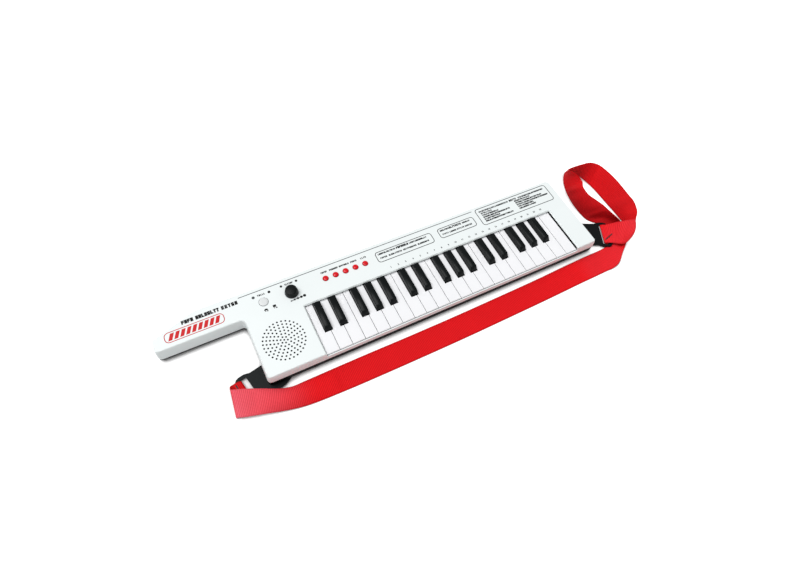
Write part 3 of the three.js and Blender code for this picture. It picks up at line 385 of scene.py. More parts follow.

# Painted light on the webbing at some stations, on its left and its right edge: below 0 a painted shade,
# above 0 a painted sheen.
strapPaintedLight = (
    (0, -0.3, -0.3),
    (9, -0.5, -0.3),
    (11, -0.1, 0.4),
    (13, 0.7, 0.78),
    (16, 0.46, 0.42),
    (18, 0.2, 0.15),
    (20, -0.1, -0.1),
    (22, -0.12, -0.12),
    (25, -0.08, -0.08),
    (27, 0.06, 0.06),
    (31, 0.08, 0.08),
    (33, -0.5, -0.4),
    (36, -0.8, -0.4),
    (40, -0.6, -0.1),
    (43, -0.4, -0.05),
    (44, -0.35, -0.2),
    (44.6, 0.04, 0.04),
    (48, 0.03, 0),
    (51, -0.2, -0.1),
    (53, -0.4, -0.35),
    (55, -0.3, -0.1),
    (57, 0.04, 0.18),
    (60, 0.1, 0.1),
    (62, 0.1, 0.05),
    (65, 0, 0),
    (68, -0.4, -0.4),
)

# Slits in the webbing beside the lugs, drawn as near-black films of painted shade: station and share of the
# width, from and to.
strapSlits = {"strapLeft": (0.5, 0.05, 0.5, 0.2), "strapRight": (62.9, 0.12, 61.5, 0.42)}


def paintedLightAt(station, share):
    for (s0, a0, b0), (s1, a1, b1) in zip(strapPaintedLight, strapPaintedLight[1:]):
        if s0 <= station <= s1:
            t = (station - s0) / (s1 - s0)
            left, right = a0 + (a1 - a0) * t, b0 + (b1 - b0) * t
            return left + (right - left) * share
    return 0


def smoothRun(points, counts):
    # a smooth line through the points, with so many steps from each to the next
    ends = [2 * points[0] - points[1], *points, 2 * points[-1] - points[-2]]
    run = []
    for i, count in enumerate(counts):
        a, b, c, d = ends[i : i + 4]
        knots = [0]
        for p, q in ((a, b), (b, c), (c, d)):
            knots.append(knots[-1] + max((q - p).length, webbing["shortestChord"]) ** 0.5)
        for k in range(count):
            t = knots[1] + (knots[2] - knots[1]) * k / count
            ab = a.lerp(b, (t - knots[0]) / (knots[1] - knots[0]))
            bc = b.lerp(c, (t - knots[1]) / (knots[2] - knots[1]))
            cd = c.lerp(d, (t - knots[2]) / (knots[3] - knots[2]))
            abc = ab.lerp(bc, (t - knots[0]) / (knots[2] - knots[0]))
            bcd = bc.lerp(cd, (t - knots[1]) / (knots[3] - knots[1]))
            run.append(abc.lerp(bcd, (t - knots[1]) / (knots[2] - knots[1])))
    return [*run, points[-1]]


def strapRows():
    # the webbing's middle surface: rows of points across it, the row at which each station
    # starts, and the station of each row
    lefts = [Vector(s[0:3]) for s in strapStations]
    rights = [Vector(s[3:6]) for s in strapStations]
    bends = [Vector((s[6], 0, 0)) for s in strapStations]
    middles = [(a + b) / 2 for a, b in zip(lefts, rights)]
    counts = [max(2, round((b - a).length / webbing["step"])) for a, b in zip(middles, middles[1:])]
    starts = [sum(counts[:i]) for i in range(len(strapStations))]
    left, right, bend = (smoothRun(points, counts) for points in (lefts, rights, bends))
    centre = [(a + b) / 2 for a, b in zip(left, right)]
    rows, stations = [], []
    for i, (a, b) in enumerate(zip(left, right)):
        k = max(n for n, start in enumerate(starts) if start <= i)
        stations.append(k + (i - starts[k]) / counts[k] if k < len(counts) else k)
        along = (centre[min(i + 1, len(centre) - 1)] - centre[max(i - 1, 0)]).normalized()
        across = b - a
        square = (across - along * across.dot(along)).length
        spare = max(webbing["width"] - webbing["slack"] - square, 0)
        # the rise of a shallow arch that takes up the spare width
        rise = min(math.sqrt(3 / 8 * square * spare), webbing["highestArch"]) * bend[i].x
        up = along.cross(across).normalized()
        up *= -1 if up.z < 0 else 1
        row = [a + across * s + up * (4 * rise * s * (1 - s)) for s in acrossShares]
        for point in row:
            point.z = max(point.z, webbing["rest"])
        rows.append(row)
    return rows, starts, stations


def cutSlit(mesh, rows, stations, slit):
    # a slit drawn as a thin dark film on the webbing's upper face, a painted shade where the cut opens
    s0, a0, s1, a1 = slit
    ends = []
    for station, share in ((s0, a0), (s1, a1)):
        i = min(range(len(rows)), key=lambda n: abs(stations[n] - station))
        row = rows[i]
        k = min(range(len(acrossShares)), key=lambda n: abs(acrossShares[n] - share))
        face = (rows[i + 1][k] - rows[i - 1][k]).cross(row[-1] - row[0]).normalized()
        face *= -1 if face.z < 0 else 1
        ends.append(((row[k] + row[min(k + 1, len(row) - 1)]) / 2, face))
    (a, up), (b, _) = ends
    side = (b - a).cross(up).normalized() * webbing["slitWidth"] / 2
    half = webbing["thickness"] / 2
    corners = (a - side, b - side, b + side, a + side)
    rings = ([p + up * height for p in corners] for height in (half, half + webbing["slitFilm"]))
    for face in prism(mesh, *rings):
        face.material_index = 1  # the slit's painted shade


def webbingMesh(name, rows, stations, first, last):
    # one closed length of webbing, with its run and its width in millimetres as UV
    half = webbing["thickness"] / 2
    widths = len(acrossShares)
    mesh = bmesh.new()
    runUv = mesh.loops.layers.uv.new("weave")
    # the tone layer holds painted light: a painted shade below 0, a painted sheen above 0
    tone = mesh.verts.layers.float.new("tone")
    middle = [row[widths // 2] for row in rows]
    run = [0]
    for a, b in zip(middle, middle[1:]):
        run.append(run[-1] + (b - a).length)
    rings = []
    for i in range(first, last + 1):
        row, upper, lower = rows[i], [], []
        for k, point in enumerate(row):
            along = rows[min(i + 1, len(rows) - 1)][k] - rows[max(i - 1, 0)][k]
            across = row[min(k + 1, widths - 1)] - row[max(k - 1, 0)]
            face = along.cross(across).normalized() * half * thicknessShares[k]
            upper.append(mesh.verts.new(place(*(point + face))))
            lower.append(mesh.verts.new(place(*(point - face))))
        for k in range(widths):
            upper[k][tone] = lower[k][tone] = paintedLightAt(stations[i], acrossShares[k])
        rings.append((run[i], upper + lower[::-1]))
    shares = [*acrossShares, *acrossShares[::-1]]
    around = 2 * widths

    def addFace(corners, spots):
        face = mesh.faces.new(corners)
        face.smooth = True
        for loop, spot in zip(face.loops, spots):
            loop[runUv].uv = spot

    for (u0, here), (u1, there) in zip(rings, rings[1:]):
        for k in range(around):
            n = (k + 1) % around
            v0, v1 = (shares[j] * webbing["width"] for j in (k, n))
            addFace((here[k], there[k], there[n], here[n]), ((u0, v0), (u1, v0), (u1, v1), (u0, v1)))
    for u, ring in (rings[0], rings[-1]):
        for k in range(widths - 1):
            corners = (ring[k], ring[k + 1], ring[around - 2 - k], ring[around - 1 - k])
            v0, v1 = (acrossShares[j] * webbing["width"] for j in (k, k + 1))
            addFace(corners, ((u, v0), (u, v1), (u, v1), (u, v0)))
        for edge in {edge for vert in ring for edge in vert.link_edges if edge.other_vert(vert) in ring}:
            edge.smooth = False
    if name in strapSlits:
        cutSlit(mesh, rows, stations, strapSlits[name])
    bmesh.ops.recalc_face_normals(mesh, faces=mesh.faces)
    return meshFrom(mesh, name), [place(*p) for p in middle[first : last + 1]]


weave = {
    "ribPitch": 2.4,  # one weft thread, drawn coarse so that it shows
    "cordPitch": 1.9,  # one warp bundle
    "bundlePower": 0.6,  # below 1, which makes the bundles flat on top
    "bundleHeight": 0.55,
    "ridgeHeight": 0.45,
    "fibreHeight": 0.25,
    "fibreStretch": (0.25, 3.2, 1),
    "fibreScale": 1.6,
    "selvage": (1.3, 2.1),  # where the smooth edge ends and the full weave starts
    "relief": 0.35,
    "heightShadedReds": ((0.15, "#aa0307"), (0.62, "#e6070d"), (1, "#ee1d26")),  # by the height of the weave: a painted shade in its hollows, a painted highlight on its raised threads
    "dyeScale": 0.03,
    "dyeValue": (0.93, 1.07),
    "selvageRed": "#d00910",
    "paintedShadeRed": "#7e0004",  # painted shade, where the loop turns from the light
    "paintedSheenRed": "#f094a8",  # painted sheen, where the weave catches the light
    "paintedHollowSheen": 0.12,
    "paintedThreadSheen": 0.5,  # the painted sheen is stronger on the raised threads
}


def wovenPolypropylene():
    # Woven polypropylene webbing: matt, ribbed across, with smooth edges and dull fibres; painted shade and
    # painted sheen lie on it.
    material, tree, shader = newMaterial("wovenPolypropylene")
    uv = addNode(tree, "ShaderNodeUVMap", {"uv_map": "weave"})
    parts = addNode(tree, "ShaderNodeSeparateXYZ", inputs={"Vector": uv})
    run, width = parts.outputs["X"], parts.outputs["Y"]

    rib = maths(tree, "SINE", maths(tree, "MULTIPLY", run, math.pi / weave["ribPitch"]))
    cord = maths(tree, "SINE", maths(tree, "MULTIPLY", width, math.pi / weave["cordPitch"]))
    over = maths(tree, "MULTIPLY", rib, cord)  # warp over weft where positive, under where negative
    bundle = maths(tree, "POWER", maths(tree, "ABSOLUTE", over), weave["bundlePower"])
    ridge = maths(tree, "ABSOLUTE", rib)
    stretched = addNode(tree, "ShaderNodeMapping", inputs={"Vector": uv, "Scale": weave["fibreStretch"]})
    inputs = {"Vector": stretched, "Scale": weave["fibreScale"], "Detail": 3}
    fibre = addNode(tree, "ShaderNodeTexNoise", inputs=inputs)
    bundle = maths(tree, "MULTIPLY", bundle, weave["bundleHeight"])
    ridge = maths(tree, "MULTIPLY", ridge, weave["ridgeHeight"])
    fibre = maths(tree, "MULTIPLY", fibre, weave["fibreHeight"])
    height = maths(tree, "ADD", maths(tree, "ADD", bundle, ridge), fibre)

    toEdge = maths(tree, "MINIMUM", width, maths(tree, "SUBTRACT", webbing["width"], width))
    inner = mapped(tree, toEdge, 0, 1, *weave["selvage"])
    inner.interpolation_type = "SMOOTHSTEP"
    bump = embossed(tree, maths(tree, "MULTIPLY", height, inner), weave["relief"], strength=0.75)

    # darker in the weave's hollows and lighter on its raised threads: painted shade and painted highlight
    ramp = addNode(tree, "ShaderNodeValToRGB", inputs={"Fac": height})
    stops = ramp.color_ramp.elements
    for i, (at, red) in enumerate(weave["heightShadedReds"]):
        stop = stops[i] if i < 2 else stops.new(at)  # a new ramp has two stops
        stop.position = at
        stop.color = colourOf(red)
    inputs = {"Vector": uv, "Scale": weave["dyeScale"], "Detail": 2}
    dye = mapped(tree, addNode(tree, "ShaderNodeTexNoise", inputs=inputs), *weave["dyeValue"])
    dyed = addNode(tree, "ShaderNodeHueSaturation", inputs={"Color": ramp, "Value": dye})
    edged = mixed(tree, inner, colourOf(weave["selvageRed"]), dyed)

    # painted light from the tone attribute: a painted shade below 0, a painted sheen above 0, stronger on the
    # raised threads
    tone = addNode(tree, "ShaderNodeAttribute", {"attribute_name": "tone"}).outputs["Fac"]
    paintedShade = mixed(tree, maths(tree, "MULTIPLY", tone, -1), edged, colourOf(weave["paintedShadeRed"]))
    threads = maths(tree, "MULTIPLY", height, weave["paintedThreadSheen"])
    threads = maths(tree, "ADD", threads, weave["paintedHollowSheen"])
    paintedSheen = maths(tree, "MULTIPLY", maths(tree, "MAXIMUM", tone, 0), threads)
    look = {
        "Base Color": mixed(tree, paintedSheen, paintedShade, colourOf(weave["paintedSheenRed"])),
        "Normal": bump,
        "Roughness": 0.7,
        "Specular IOR Level": 0.12,
        "Sheen Weight": 0.03,
        "Sheen Roughness": 0.4,
        "Sheen Tint": colourOf("#ff9a9a"),
        "IOR": 1.49,
    }
    feed(tree, shader, look)
    return material


def burntEdge():
    # Painted shade in the slit: a near-black film where the cut opens.
    look = {"Base Color": colourOf("#140405")}
    return speckled("burntEdge", look, size=0.5, detail=2, roughness=(0.5, 0.7))


def addStrap():
    rows, starts, stations = strapRows()
    cut1, cut2, cut3 = (starts[webbing[name]] for name in ("leftEnd", "frontEnd", "rightStart"))
    cloth, slit = wovenPolypropylene(), burntEdge()
    spans = {
        "strapLeft": (0, cut1),
        "strapFront": (cut1, cut2),
        "strapLoop": (cut2, cut3),
        "strapRight": (cut3, len(rows) - 1),
    }
    for name, (first, last) in spans.items():
        data, path = webbingMesh(name, rows, stations, first, last)
        piece = addObject(name, data, cloth, slit)
        if name == "strapLeft":
            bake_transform(piece)
        elif name == "strapFront":
            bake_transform(piece)
        else:
            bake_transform(piece)
        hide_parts("strap")


addStrap()
print("strap laid")

# Floor and light: a pale studio table under a large soft box

studio = {
    "floorSize": 36,
    "floor": "#dedede",
    "floorLift": 0.78,  # a painted glow burns the floor out to white where the camera sees it, and fades close to a piece into a painted contact shadow
    "contactReach": 9,
    "paintedContactShadow": (0.6, 0.985),
    "world": 0.36,
    # a broad soft light overhead, a little behind the left end: its direction, spread in degrees, strength
    "keyFrom": (-0.32, 0.24, 0.92),
    "keySpread": 44,
    "keyStrength": 2.33,
    # a small lamp in front, which only the glossy edges show
    "glintFrom": (0.1, -0.75, 0.65),
    "glintSpread": 4,
    "glintStrength": 0.3,
}


def addStudio():
    mesh = bpy.data.meshes.new("studioFloor")
    half = studio["floorSize"] / 2
    corners = [(-half, -half, 0), (half, -half, 0), (half, half, 0), (-half, half, 0)]
    mesh.from_pydata(corners, [], [(0, 1, 2, 3)])
    # Matt emulsion paint, with a painted glow and a painted contact shadow where the camera sees it.
    material, tree, shader = newMaterial("paintedStudioFloor")
    # painted contact shadow: the glow fades where other surfaces are near
    lift = openness(tree, studio["contactReach"], *studio["paintedContactShadow"], studio["floorLift"])
    seen = addNode(tree, "ShaderNodeLightPath").outputs["Is Camera Ray"]
    look = {
        "Base Color": colourOf(studio["floor"]),
        "Roughness": 0.9,
        "Specular IOR Level": 0.1,
        "Emission Color": colourOf("#ffffff"),
        "Emission Strength": maths(tree, "MULTIPLY", lift, seen),
    }
    feed(tree, shader, look)
    addObject("studioFloor", mesh, material)

    scene.world = bpy.data.worlds.new("studioAir")
    scene.world.use_nodes = True
    air = scene.world.node_tree
    feed(air, air.nodes["Background"], {"Color": (1, 1, 1, 1), "Strength": studio["world"]})
    for light in ("key", "glint"):
        data = bpy.data.lights.new(light + "Light", "SUN")
        data.angle = math.radians(studio[light + "Spread"])
        data.energy = studio[light + "Strength"]
        lamp = addObject(data.name, data)
        lamp.rotation_mode = "QUATERNION"
        lamp.rotation_quaternion = Vector(studio[light + "From"]).to_track_quat("Z", "Y")
    scene.view_settings.view_transform = "Standard"
    scene.view_settings.look = "None"


addStudio()
print("studio lit")

# Moulded plastics: two colours with a cloud between them, roughness, the grain's size and depth, gloss

plastics = {
    "satinWhiteAbs": ("#ecf2f2", "#e7eded", (0.36, 0.46), 0.5, 0.02, 0.35),
    "mattBlackAbs": ("#090b0c", "#0d1011", (0.48, 0.6), 0.7, 0.05, 0.08),
    "polishedWhiteAbs": ("#f4f4f6", "#eff0f3", (0.16, 0.24), 3, 0.01, 0.35),
    "polishedBlackAbs": ("#0b0f10", "#0f1314", (0.3, 0.4), 0.6, 0.02, 0.12),
    "glossRedAbs": ("#dc0a1c", "#cd0818", (0.22, 0.3), 1, 0.01, 0.35),
    "softTouchBlack": ("#070b0c", "#0a0e0f", (0.38, 0.5), 0.5, 0.03, 0.14),
    "mouldedNylon": ("#0c1011", "#111617", (0.38, 0.5), 0.9, 0.04, 0.1),
    "plainWhiteAbs": ("#dfe2e2", "#d6dada", (0.4, 0.5), 1, 0.02, 0.35),
    "siliconeRubber": ("#6c7072", "#626669", (0.6, 0.75), 0.6, 0.03, 0.25),
}
cloudSize = 40
# Painted shade: the white pieces are painted darker this far into gaps and beside other surfaces: where the
# painted shade starts and ends, and its colour.
paintedShadeReach = 2.5
paintedGapShade = {
    "polishedWhiteAbs": (0.08, 0.55, "#14141c"),
    "satinWhiteAbs": (0.15, 0.8, "#6f7686"),
    "plainWhiteAbs": (0.3, 0.9, "#6f7686"),
}


def mouldedPlastic(name):
    # A moulded surface: an even colour with a faint cloud in it, and a fine spark-eroded grain.
    first, second, roughness, size, depth, gloss = plastics[name]
    material, tree, shader = newMaterial(name)
    cloud = noise(tree, cloudSize, detail=2)
    colour = mixed(tree, cloud, colourOf(first), colourOf(second))
    # a painted shade in gaps and beside taller parts
    if name in paintedGapShade:
        dark, clear, shade = paintedGapShade[name]
        colour = mixed(tree, openness(tree, paintedShadeReach, dark, clear), colourOf(shade), colour)
    grain = noise(tree, size, detail=3)
    look = {
        "Base Color": colour,
        "Roughness": mapped(tree, grain, *roughness),
        "Normal": embossed(tree, grain, depth, strength=0.5),
        "IOR": 1.53,
        "Specular IOR Level": gloss,
    }
    feed(tree, shader, look)
    return material


def zincPlatedSteel():
    # Zinc plated steel: bright grey, with fine turning marks.
    look = {"Base Color": colourOf("#c4c6c8"), "Metallic": 1}
    return speckled("zincPlatedSteel", look, size=0.4, detail=3, roughness=(0.28, 0.42))


finishes = {name: mouldedPlastic(name) for name in plastics}
finishes["zincPlatedSteel"] = zincPlatedSteel()

# Which finish each node of the part has
nodeFinishes = {
    "top_cover": "satinWhiteAbs",
    "lower_case": "mattBlackAbs",
    "battery_door": "mattBlackAbs",
    "white_key": "polishedWhiteAbs",
    "black_key": "polishedBlackAbs",
    "function_button": "glossRedAbs",
    "power_button": "plainWhiteAbs",
    "volume_knob": "softTouchBlack",
    "volume_pot": "zincPlatedSteel",
    "strap_lug": "mouldedNylon",
    "lug_screw": "zincPlatedSteel",
    "key_axle": "zincPlatedSteel",
    "key_frame": "plainWhiteAbs",
    "mic_jack": "mattBlackAbs",
    "rubber_contact_strip": "siliconeRubber",
    "speaker": "softTouchBlack",
    "key_contact_board": "siliconeRubber",
    "main_board": "siliconeRubber",
}

# How the solids' edges are softened: the angle that still counts as round, and the radius of each edge
softening = {
    "roundAngle": 38,
    "coverRoundAngle": 16,
    "bevelAngle": 50,
    "radii": {
        "white_key": 0.35,
        "black_key": 0.45,
        "function_button": 0.35,
        "power_button": 0.35,
        "strap_lug": 0.5,
    },
}


def smoothingGroup():
    group, given, made = newGroup("smoothFacets", {"Merge Distance": "Float", "Round Angle": "Float"})
    inputs = {"Geometry": given["Geometry"], "Distance": given["Merge Distance"]}
    merged = addNode(group, "GeometryNodeMergeByDistance", inputs=inputs)
    smooth = addNode(group, "GeometryNodeSetShadeSmooth", {"domain": "FACE"}, {"Geometry": merged})
    compare = {"data_type": "FLOAT", "operation": "GREATER_THAN"}
    turn = addNode(group, "GeometryNodeInputMeshEdgeAngle").outputs["Unsigned Angle"]
    sharp = addNode(group, "FunctionNodeCompare", compare, {"A": turn, "B": given["Round Angle"]})
    inputs = {"Geometry": smooth, "Selection": sharp, "Shade Smooth": False}
    creased = addNode(group, "GeometryNodeSetShadeSmooth", {"domain": "EDGE"}, inputs)
    group.links.new(creased.outputs["Geometry"], made["Geometry"])
    return group


def finishNodes():
    smoothing = smoothingGroup()
    for name, node in nodes.items():
        for start, finish in nodeFinishes.items():
            if name.startswith(start):
                node.data.materials.clear()
                node.data.materials.append(finishes[finish])
        angle = softening["coverRoundAngle" if name == "top_cover" else "roundAngle"]
        runGroup(node, smoothing, {"Merge Distance": weldDistance, "Round Angle": math.radians(angle)})
        for start, radius in softening["radii"].items():
            if name.startswith(start):
                bevel = node.modifiers.new("softEdges", "BEVEL")
                bevel.width = radius * mm
                bevel.segments = 2
                bevel.limit_method = "ANGLE"
                bevel.angle_limit = math.radians(softening["bevelAngle"])
                bevel.harden_normals = True


finishNodes()
print("finishes on")

# Black cloth behind the loudspeaker's perforations, raised into them to just under the face: partly a real
# cloth, partly a painted shade in the holes

grilleCloth = {
    "radius": 31.4,
    "top": 0.1,  # under the top of the cover, inside the holes, where it stands for their shade
    "bottom": 1.3,
    "waves": 0.3 / 0.45,  # bands of threads to the millimetre, in the wave node's measure
    "relief": 0.1,
    "colour": "#050606",
}


def wovenSpeakerCloth():
    # Plain woven polyester, black and dull, drawn tight.
    material, tree, shader = newMaterial("wovenSpeakerCloth")
    room = addNode(tree, "ShaderNodeTexCoord").outputs["Object"]
    inputs = {"Vector": room, "Scale": grilleCloth["waves"] / mm}
    threads = addNode(tree, "ShaderNodeTexWave", {"bands_direction": "DIAGONAL"}, inputs)
    look = {
        "Base Color": colourOf(grilleCloth["colour"]),
        "Normal": embossed(tree, threads.outputs["Fac"], grilleCloth["relief"], strength=0.6),
        "Roughness": 0.9,
        "Specular IOR Level": 0.05,
    }
    feed(tree, shader, look)
    return material


def addGrilleCloth():
    low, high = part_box("speaker")
    middle = ((low + high) / 2 - drawingOrigin) / mm
    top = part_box("top_cover")[1].z / mm
    disc = arc(middle.x, middle.y, grilleCloth["radius"], steps=48)
    low, high = top - grilleCloth["bottom"], top - grilleCloth["top"]
    cloth = plates("grilleCloth", [disc], low, high, wovenSpeakerCloth())
    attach(cloth, "instrument")


addGrilleCloth()

# Case screws, battery contacts and the socket's ferrule, seen from below and behind

caseScrew = {
    "sizes": {"Head Radius": 2.6, "Slot Length": 3, "Slot Width": 0.8, "Slot Depth": 0.9, "Head Depth": 1.8},
    "top": 9.9,
    "seed": 3,
}
screwHoles = (
    (-77.57, 6.5),
    (-8.62, 6.92),
    (-77.57, 89.9),
    (139.94, 130.97),
    (285.7, 130.97),
    (381, 130.97),
    (466.21, 130),
    (466.21, 84.36),
    (455, 7.47),
    (-189.87, 107.67),
    (-104.17, 127.02),
)
cellContact = {
    "wire": 0.4,
    "coil": 3.6,
    "narrowing": 0.5,
    "turns": 4,
    "stepsToTurn": 16,
    "length": 3.2,
    "height": 14.2,
    "rows": (112.8, 128.3),
    "x": (160.5, 263.5),
}
ferrule = {"x": -30, "z": 22.8, "radius": 2.5, "wire": 0.45}


def screwHeadGroup():
    # a flat round head with a slot cut into the side that is seen
    kinds = {**dict.fromkeys(caseScrew["sizes"], "Float"), "Metal": "Material"}
    group, given, made = newGroup("caseScrewHeads", kinds)

    def joined(*parts):
        whole = addNode(group, "GeometryNodeJoinGeometry")
        for part in parts:
            feed(group, whole, {"Geometry": part})
        return whole

    def slab(depth, *curves):
        face = addNode(group, "GeometryNodeFillCurve", inputs={"Curve": joined(*curves)})
        up = addNode(group, "ShaderNodeCombineXYZ", inputs={"Z": depth})
        inputs = {"Mesh": face, "Offset": up, "Offset Scale": 1, "Individual": False}
        raised = addNode(group, "GeometryNodeExtrudeMesh", inputs=inputs)
        lid = addNode(group, "GeometryNodeFlipFaces", inputs={"Mesh": face})
        inputs = {"Geometry": joined(raised, lid), "Distance": weldDistance}
        return addNode(group, "GeometryNodeMergeByDistance", inputs=inputs)

    inputs = {"Resolution": 24, "Radius": given["Head Radius"]}
    rim = addNode(group, "GeometryNodeCurvePrimitiveCircle", inputs=inputs)
    inputs = {"Width": given["Slot Length"], "Height": given["Slot Width"]}
    slot = addNode(group, "GeometryNodeCurvePrimitiveQuadrilateral", inputs=inputs)
    ring = slab(given["Slot Depth"], rim, slot)
    disc = slab(maths(group, "SUBTRACT", given["Head Depth"], given["Slot Depth"]), rim)
    lift = addNode(group, "ShaderNodeCombineXYZ", inputs={"Z": given["Slot Depth"]})
    seat = addNode(group, "GeometryNodeTransform", inputs={"Geometry": disc, "Translation": lift})
    inputs = {"Min": (0, 0, 0), "Max": (0, 0, math.pi), "Seed": caseScrew["seed"]}
    turn = addNode(group, "FunctionNodeRandomValue", {"data_type": "FLOAT_VECTOR"}, inputs)
    inputs = {"Points": given["Geometry"], "Instance": joined(ring, seat), "Rotation": turn}
    placed = addNode(group, "GeometryNodeInstanceOnPoints", inputs=inputs)
    return endGroup(group, placed, given["Metal"], made)


def addCaseScrews():
    points = bpy.data.meshes.new("caseScrews")
    bottom = caseScrew["top"] - caseScrew["sizes"]["Head Depth"]
    points.from_pydata([place(x, y, bottom) for x, y in screwHoles], [], [])
    settings = {label: size * mm for label, size in caseScrew["sizes"].items()}
    settings["Metal"] = finishes["zincPlatedSteel"]
    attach(grown("caseScrews", points, screwHeadGroup(), settings), "instrument")


def addWires():
    # coils narrow towards the cell, two at each end of the bay, and a ring round the socket
    sizes = {"Resolution": 8, "Radius": "Wire Radius"}
    group = sweptGroup("bentWire", "GeometryNodeCurvePrimitiveCircle", sizes, "Metal")
    runs = []
    steps = cellContact["stepsToTurn"] * cellContact["turns"]
    for side, x in zip((1, -1), cellContact["x"]):
        for y in cellContact["rows"]:
            run = []
            for i in range(steps + 1):
                share = i / steps
                angle = 2 * math.pi * cellContact["turns"] * share
                radius = cellContact["coil"] * (1 - share * cellContact["narrowing"])
                along = x + side * cellContact["length"] * share
                up = cellContact["height"] + radius * math.sin(angle)
                run.append((along, y + radius * math.cos(angle), up))
            runs.append(run)
    settings = {"Wire Radius": cellContact["wire"] * mm, "Metal": finishes["zincPlatedSteel"]}
    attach(grown("cellSprings", polyline("cellSprings", runs), group, settings), "instrument")

    back = (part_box("mic_jack")[1].y - drawingOrigin.y) / mm
    ring = [(ferrule["x"] + a, back, ferrule["z"] + b) for a, b in arc(0, 0, ferrule["radius"])]
    settings = {"Wire Radius": ferrule["wire"] * mm, "Metal": finishes["zincPlatedSteel"]}
    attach(grown("jackFerrule", polyline("jackFerrule", [[*ring, ring[0]]]), group, settings), "instrument")


addCaseScrews()
addWires()
print("fittings on")

# Printing: thin films of ink on the cover

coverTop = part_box("top_cover")[1].z / mm
printing = {
    "low": coverTop + 0.01,
    "middle": coverTop + 0.025,
    "high": coverTop + 0.04,
    "film": 0.03,
    "black": "#060708",
    "grey": "#4b5052",
    "red": "#c90009",
}


def screenInk(name, colour):
    # Screen-printed ink: flat colour, a little glossier than the moulding under it.
    look = {"Base Color": colourOf(colour), "Specular IOR Level": 0.2}
    return speckled(name, look, size=0.3, detail=2, roughness=(0.32, 0.45))


inks = {tone: screenInk(tone + "ScreenInk", printing[tone]) for tone in ("black", "grey", "red")}

# Ruled lines

ruling = {
    "lineWidth": 1.1,
    "corner": 4.5,
    "pinstripe": (-83, 316, 133),  # x from and to, y
    # left, front, right and back of each rounded frame
    "frames": ((132, 104.5, 231, 123.3), (244, 105.5, 311.4, 123.8), (321.7, 100, 464.5, 133.5)),
}
lineSizes = {"Width": "Line Width", "Height": "Film"}
ruledLines = sweptGroup("ruledLines", "GeometryNodeCurvePrimitiveQuadrilateral", lineSizes, "Ink")


def roundedFrame(left, front, right, back, corner):
    # a closed run of x, y, z points
    points = []
    for x, y, start in (
        (right - corner, front + corner, -90),
        (right - corner, back - corner, 0),
        (left + corner, back - corner, 90),
        (left + corner, front + corner, 180),
    ):
        points += arc(x, y, corner, start, start + 90, steps=6)
    return [(x, y, printing["middle"]) for x, y in [*points, points[0]]]


def addRuledLines():
    left, right, y = ruling["pinstripe"]
    settings = {"Line Width": ruling["lineWidth"] * mm, "Film": printing["film"] * mm}
    stripe = polyline("pinstripe", [[(left, y, printing["middle"]), (right, y, printing["middle"])]])
    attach(grown("pinstripe", stripe, ruledLines, {**settings, "Ink": inks["grey"]}), "instrument")
    frames = polyline("panelFrames", [roundedFrame(*edges, ruling["corner"]) for edges in ruling["frames"]])
    frames = grown("panelFrames", frames, ruledLines, {**settings, "Ink": inks["black"]})
    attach(frames, "instrument")


addRuledLines()

# Lettering that stands for words: strokes on a grid three wide and five high

lettering = {
    "small": 2.6,  # letter heights
    "bold": 3.5,
    "title": 5.5,
    "letterShare": 0.6,  # a letter's width, as a share of its height
    "spacingShare": 0.15,
    "weight": 0.6,  # added to the width of every stroke
    "strokes": (
        ((0, 0, 1.2, 5), (1.2, 3.9, 3, 5), (1.2, 1.9, 2.7, 3)),
        ((0, 0, 1.2, 5), (1.8, 0, 3, 5), (1.2, 2, 1.8, 3.2)),
        ((0, 0, 1.2, 5), (1.2, 0, 3, 1.2)),
        ((0, 3.8, 3, 5), (0.9, 0, 2.1, 3.8)),
        ((0, 0, 1.2, 5), (1.8, 0, 3, 5), (1.2, 0, 1.8, 1.1), (1.2, 3.9, 1.8, 5)),
        ((0, 3.9, 3, 5), (0, 1.9, 1.2, 3.9), (1.2, 1.9, 3, 3.1), (1.8, 0, 3, 1.9), (0, 0, 1.8, 1.2)),
        ((0, 0, 1.2, 5), (1.2, 0, 3, 1.1), (1.2, 2, 2.7, 3), (1.2, 3.9, 3, 5)),
    ),
    "seed": 11,
}

# Rows of words: y of the foot of the letters, then x from and to of each word.
smallRows = (
    (109.9, (137, 148), (151.5, 174), (177, 200), (203, 223)),
    (110.4, (249, 260), (262, 274), (276, 289), (291, 304)),
    (123.9, (-56.5, -45.4)),
    (125.3, (-14.1, -1.7)),
    (122.2, (42, 52), (56, 70), (72, 88), (91, 101), (108, 117)),
)
neckTitle = (124.4, (-166, -150), (-146, -113), (-109, -86))
# In a heading, small letters stand before and after the bold ones, and a little higher.
headingLift = 0.3
headings = (
    (117.3, (136, 166), (168, 189), (191, 222)),
    (117.8, (248, 264), (265, 287), (290, 304)),
    (125.6, (327, 385), (388, 402), (406, 458)),
)
# Two lists: the first row's foot and the pitch, then x of each list and the lengths of its rows.
listTop, listPitch = 121.7, 4.15
listRows = ((329, (20.6, 31.5, 52, 30, 54.6)), (396, (31.5, 53, 64, 31.5, 34)))


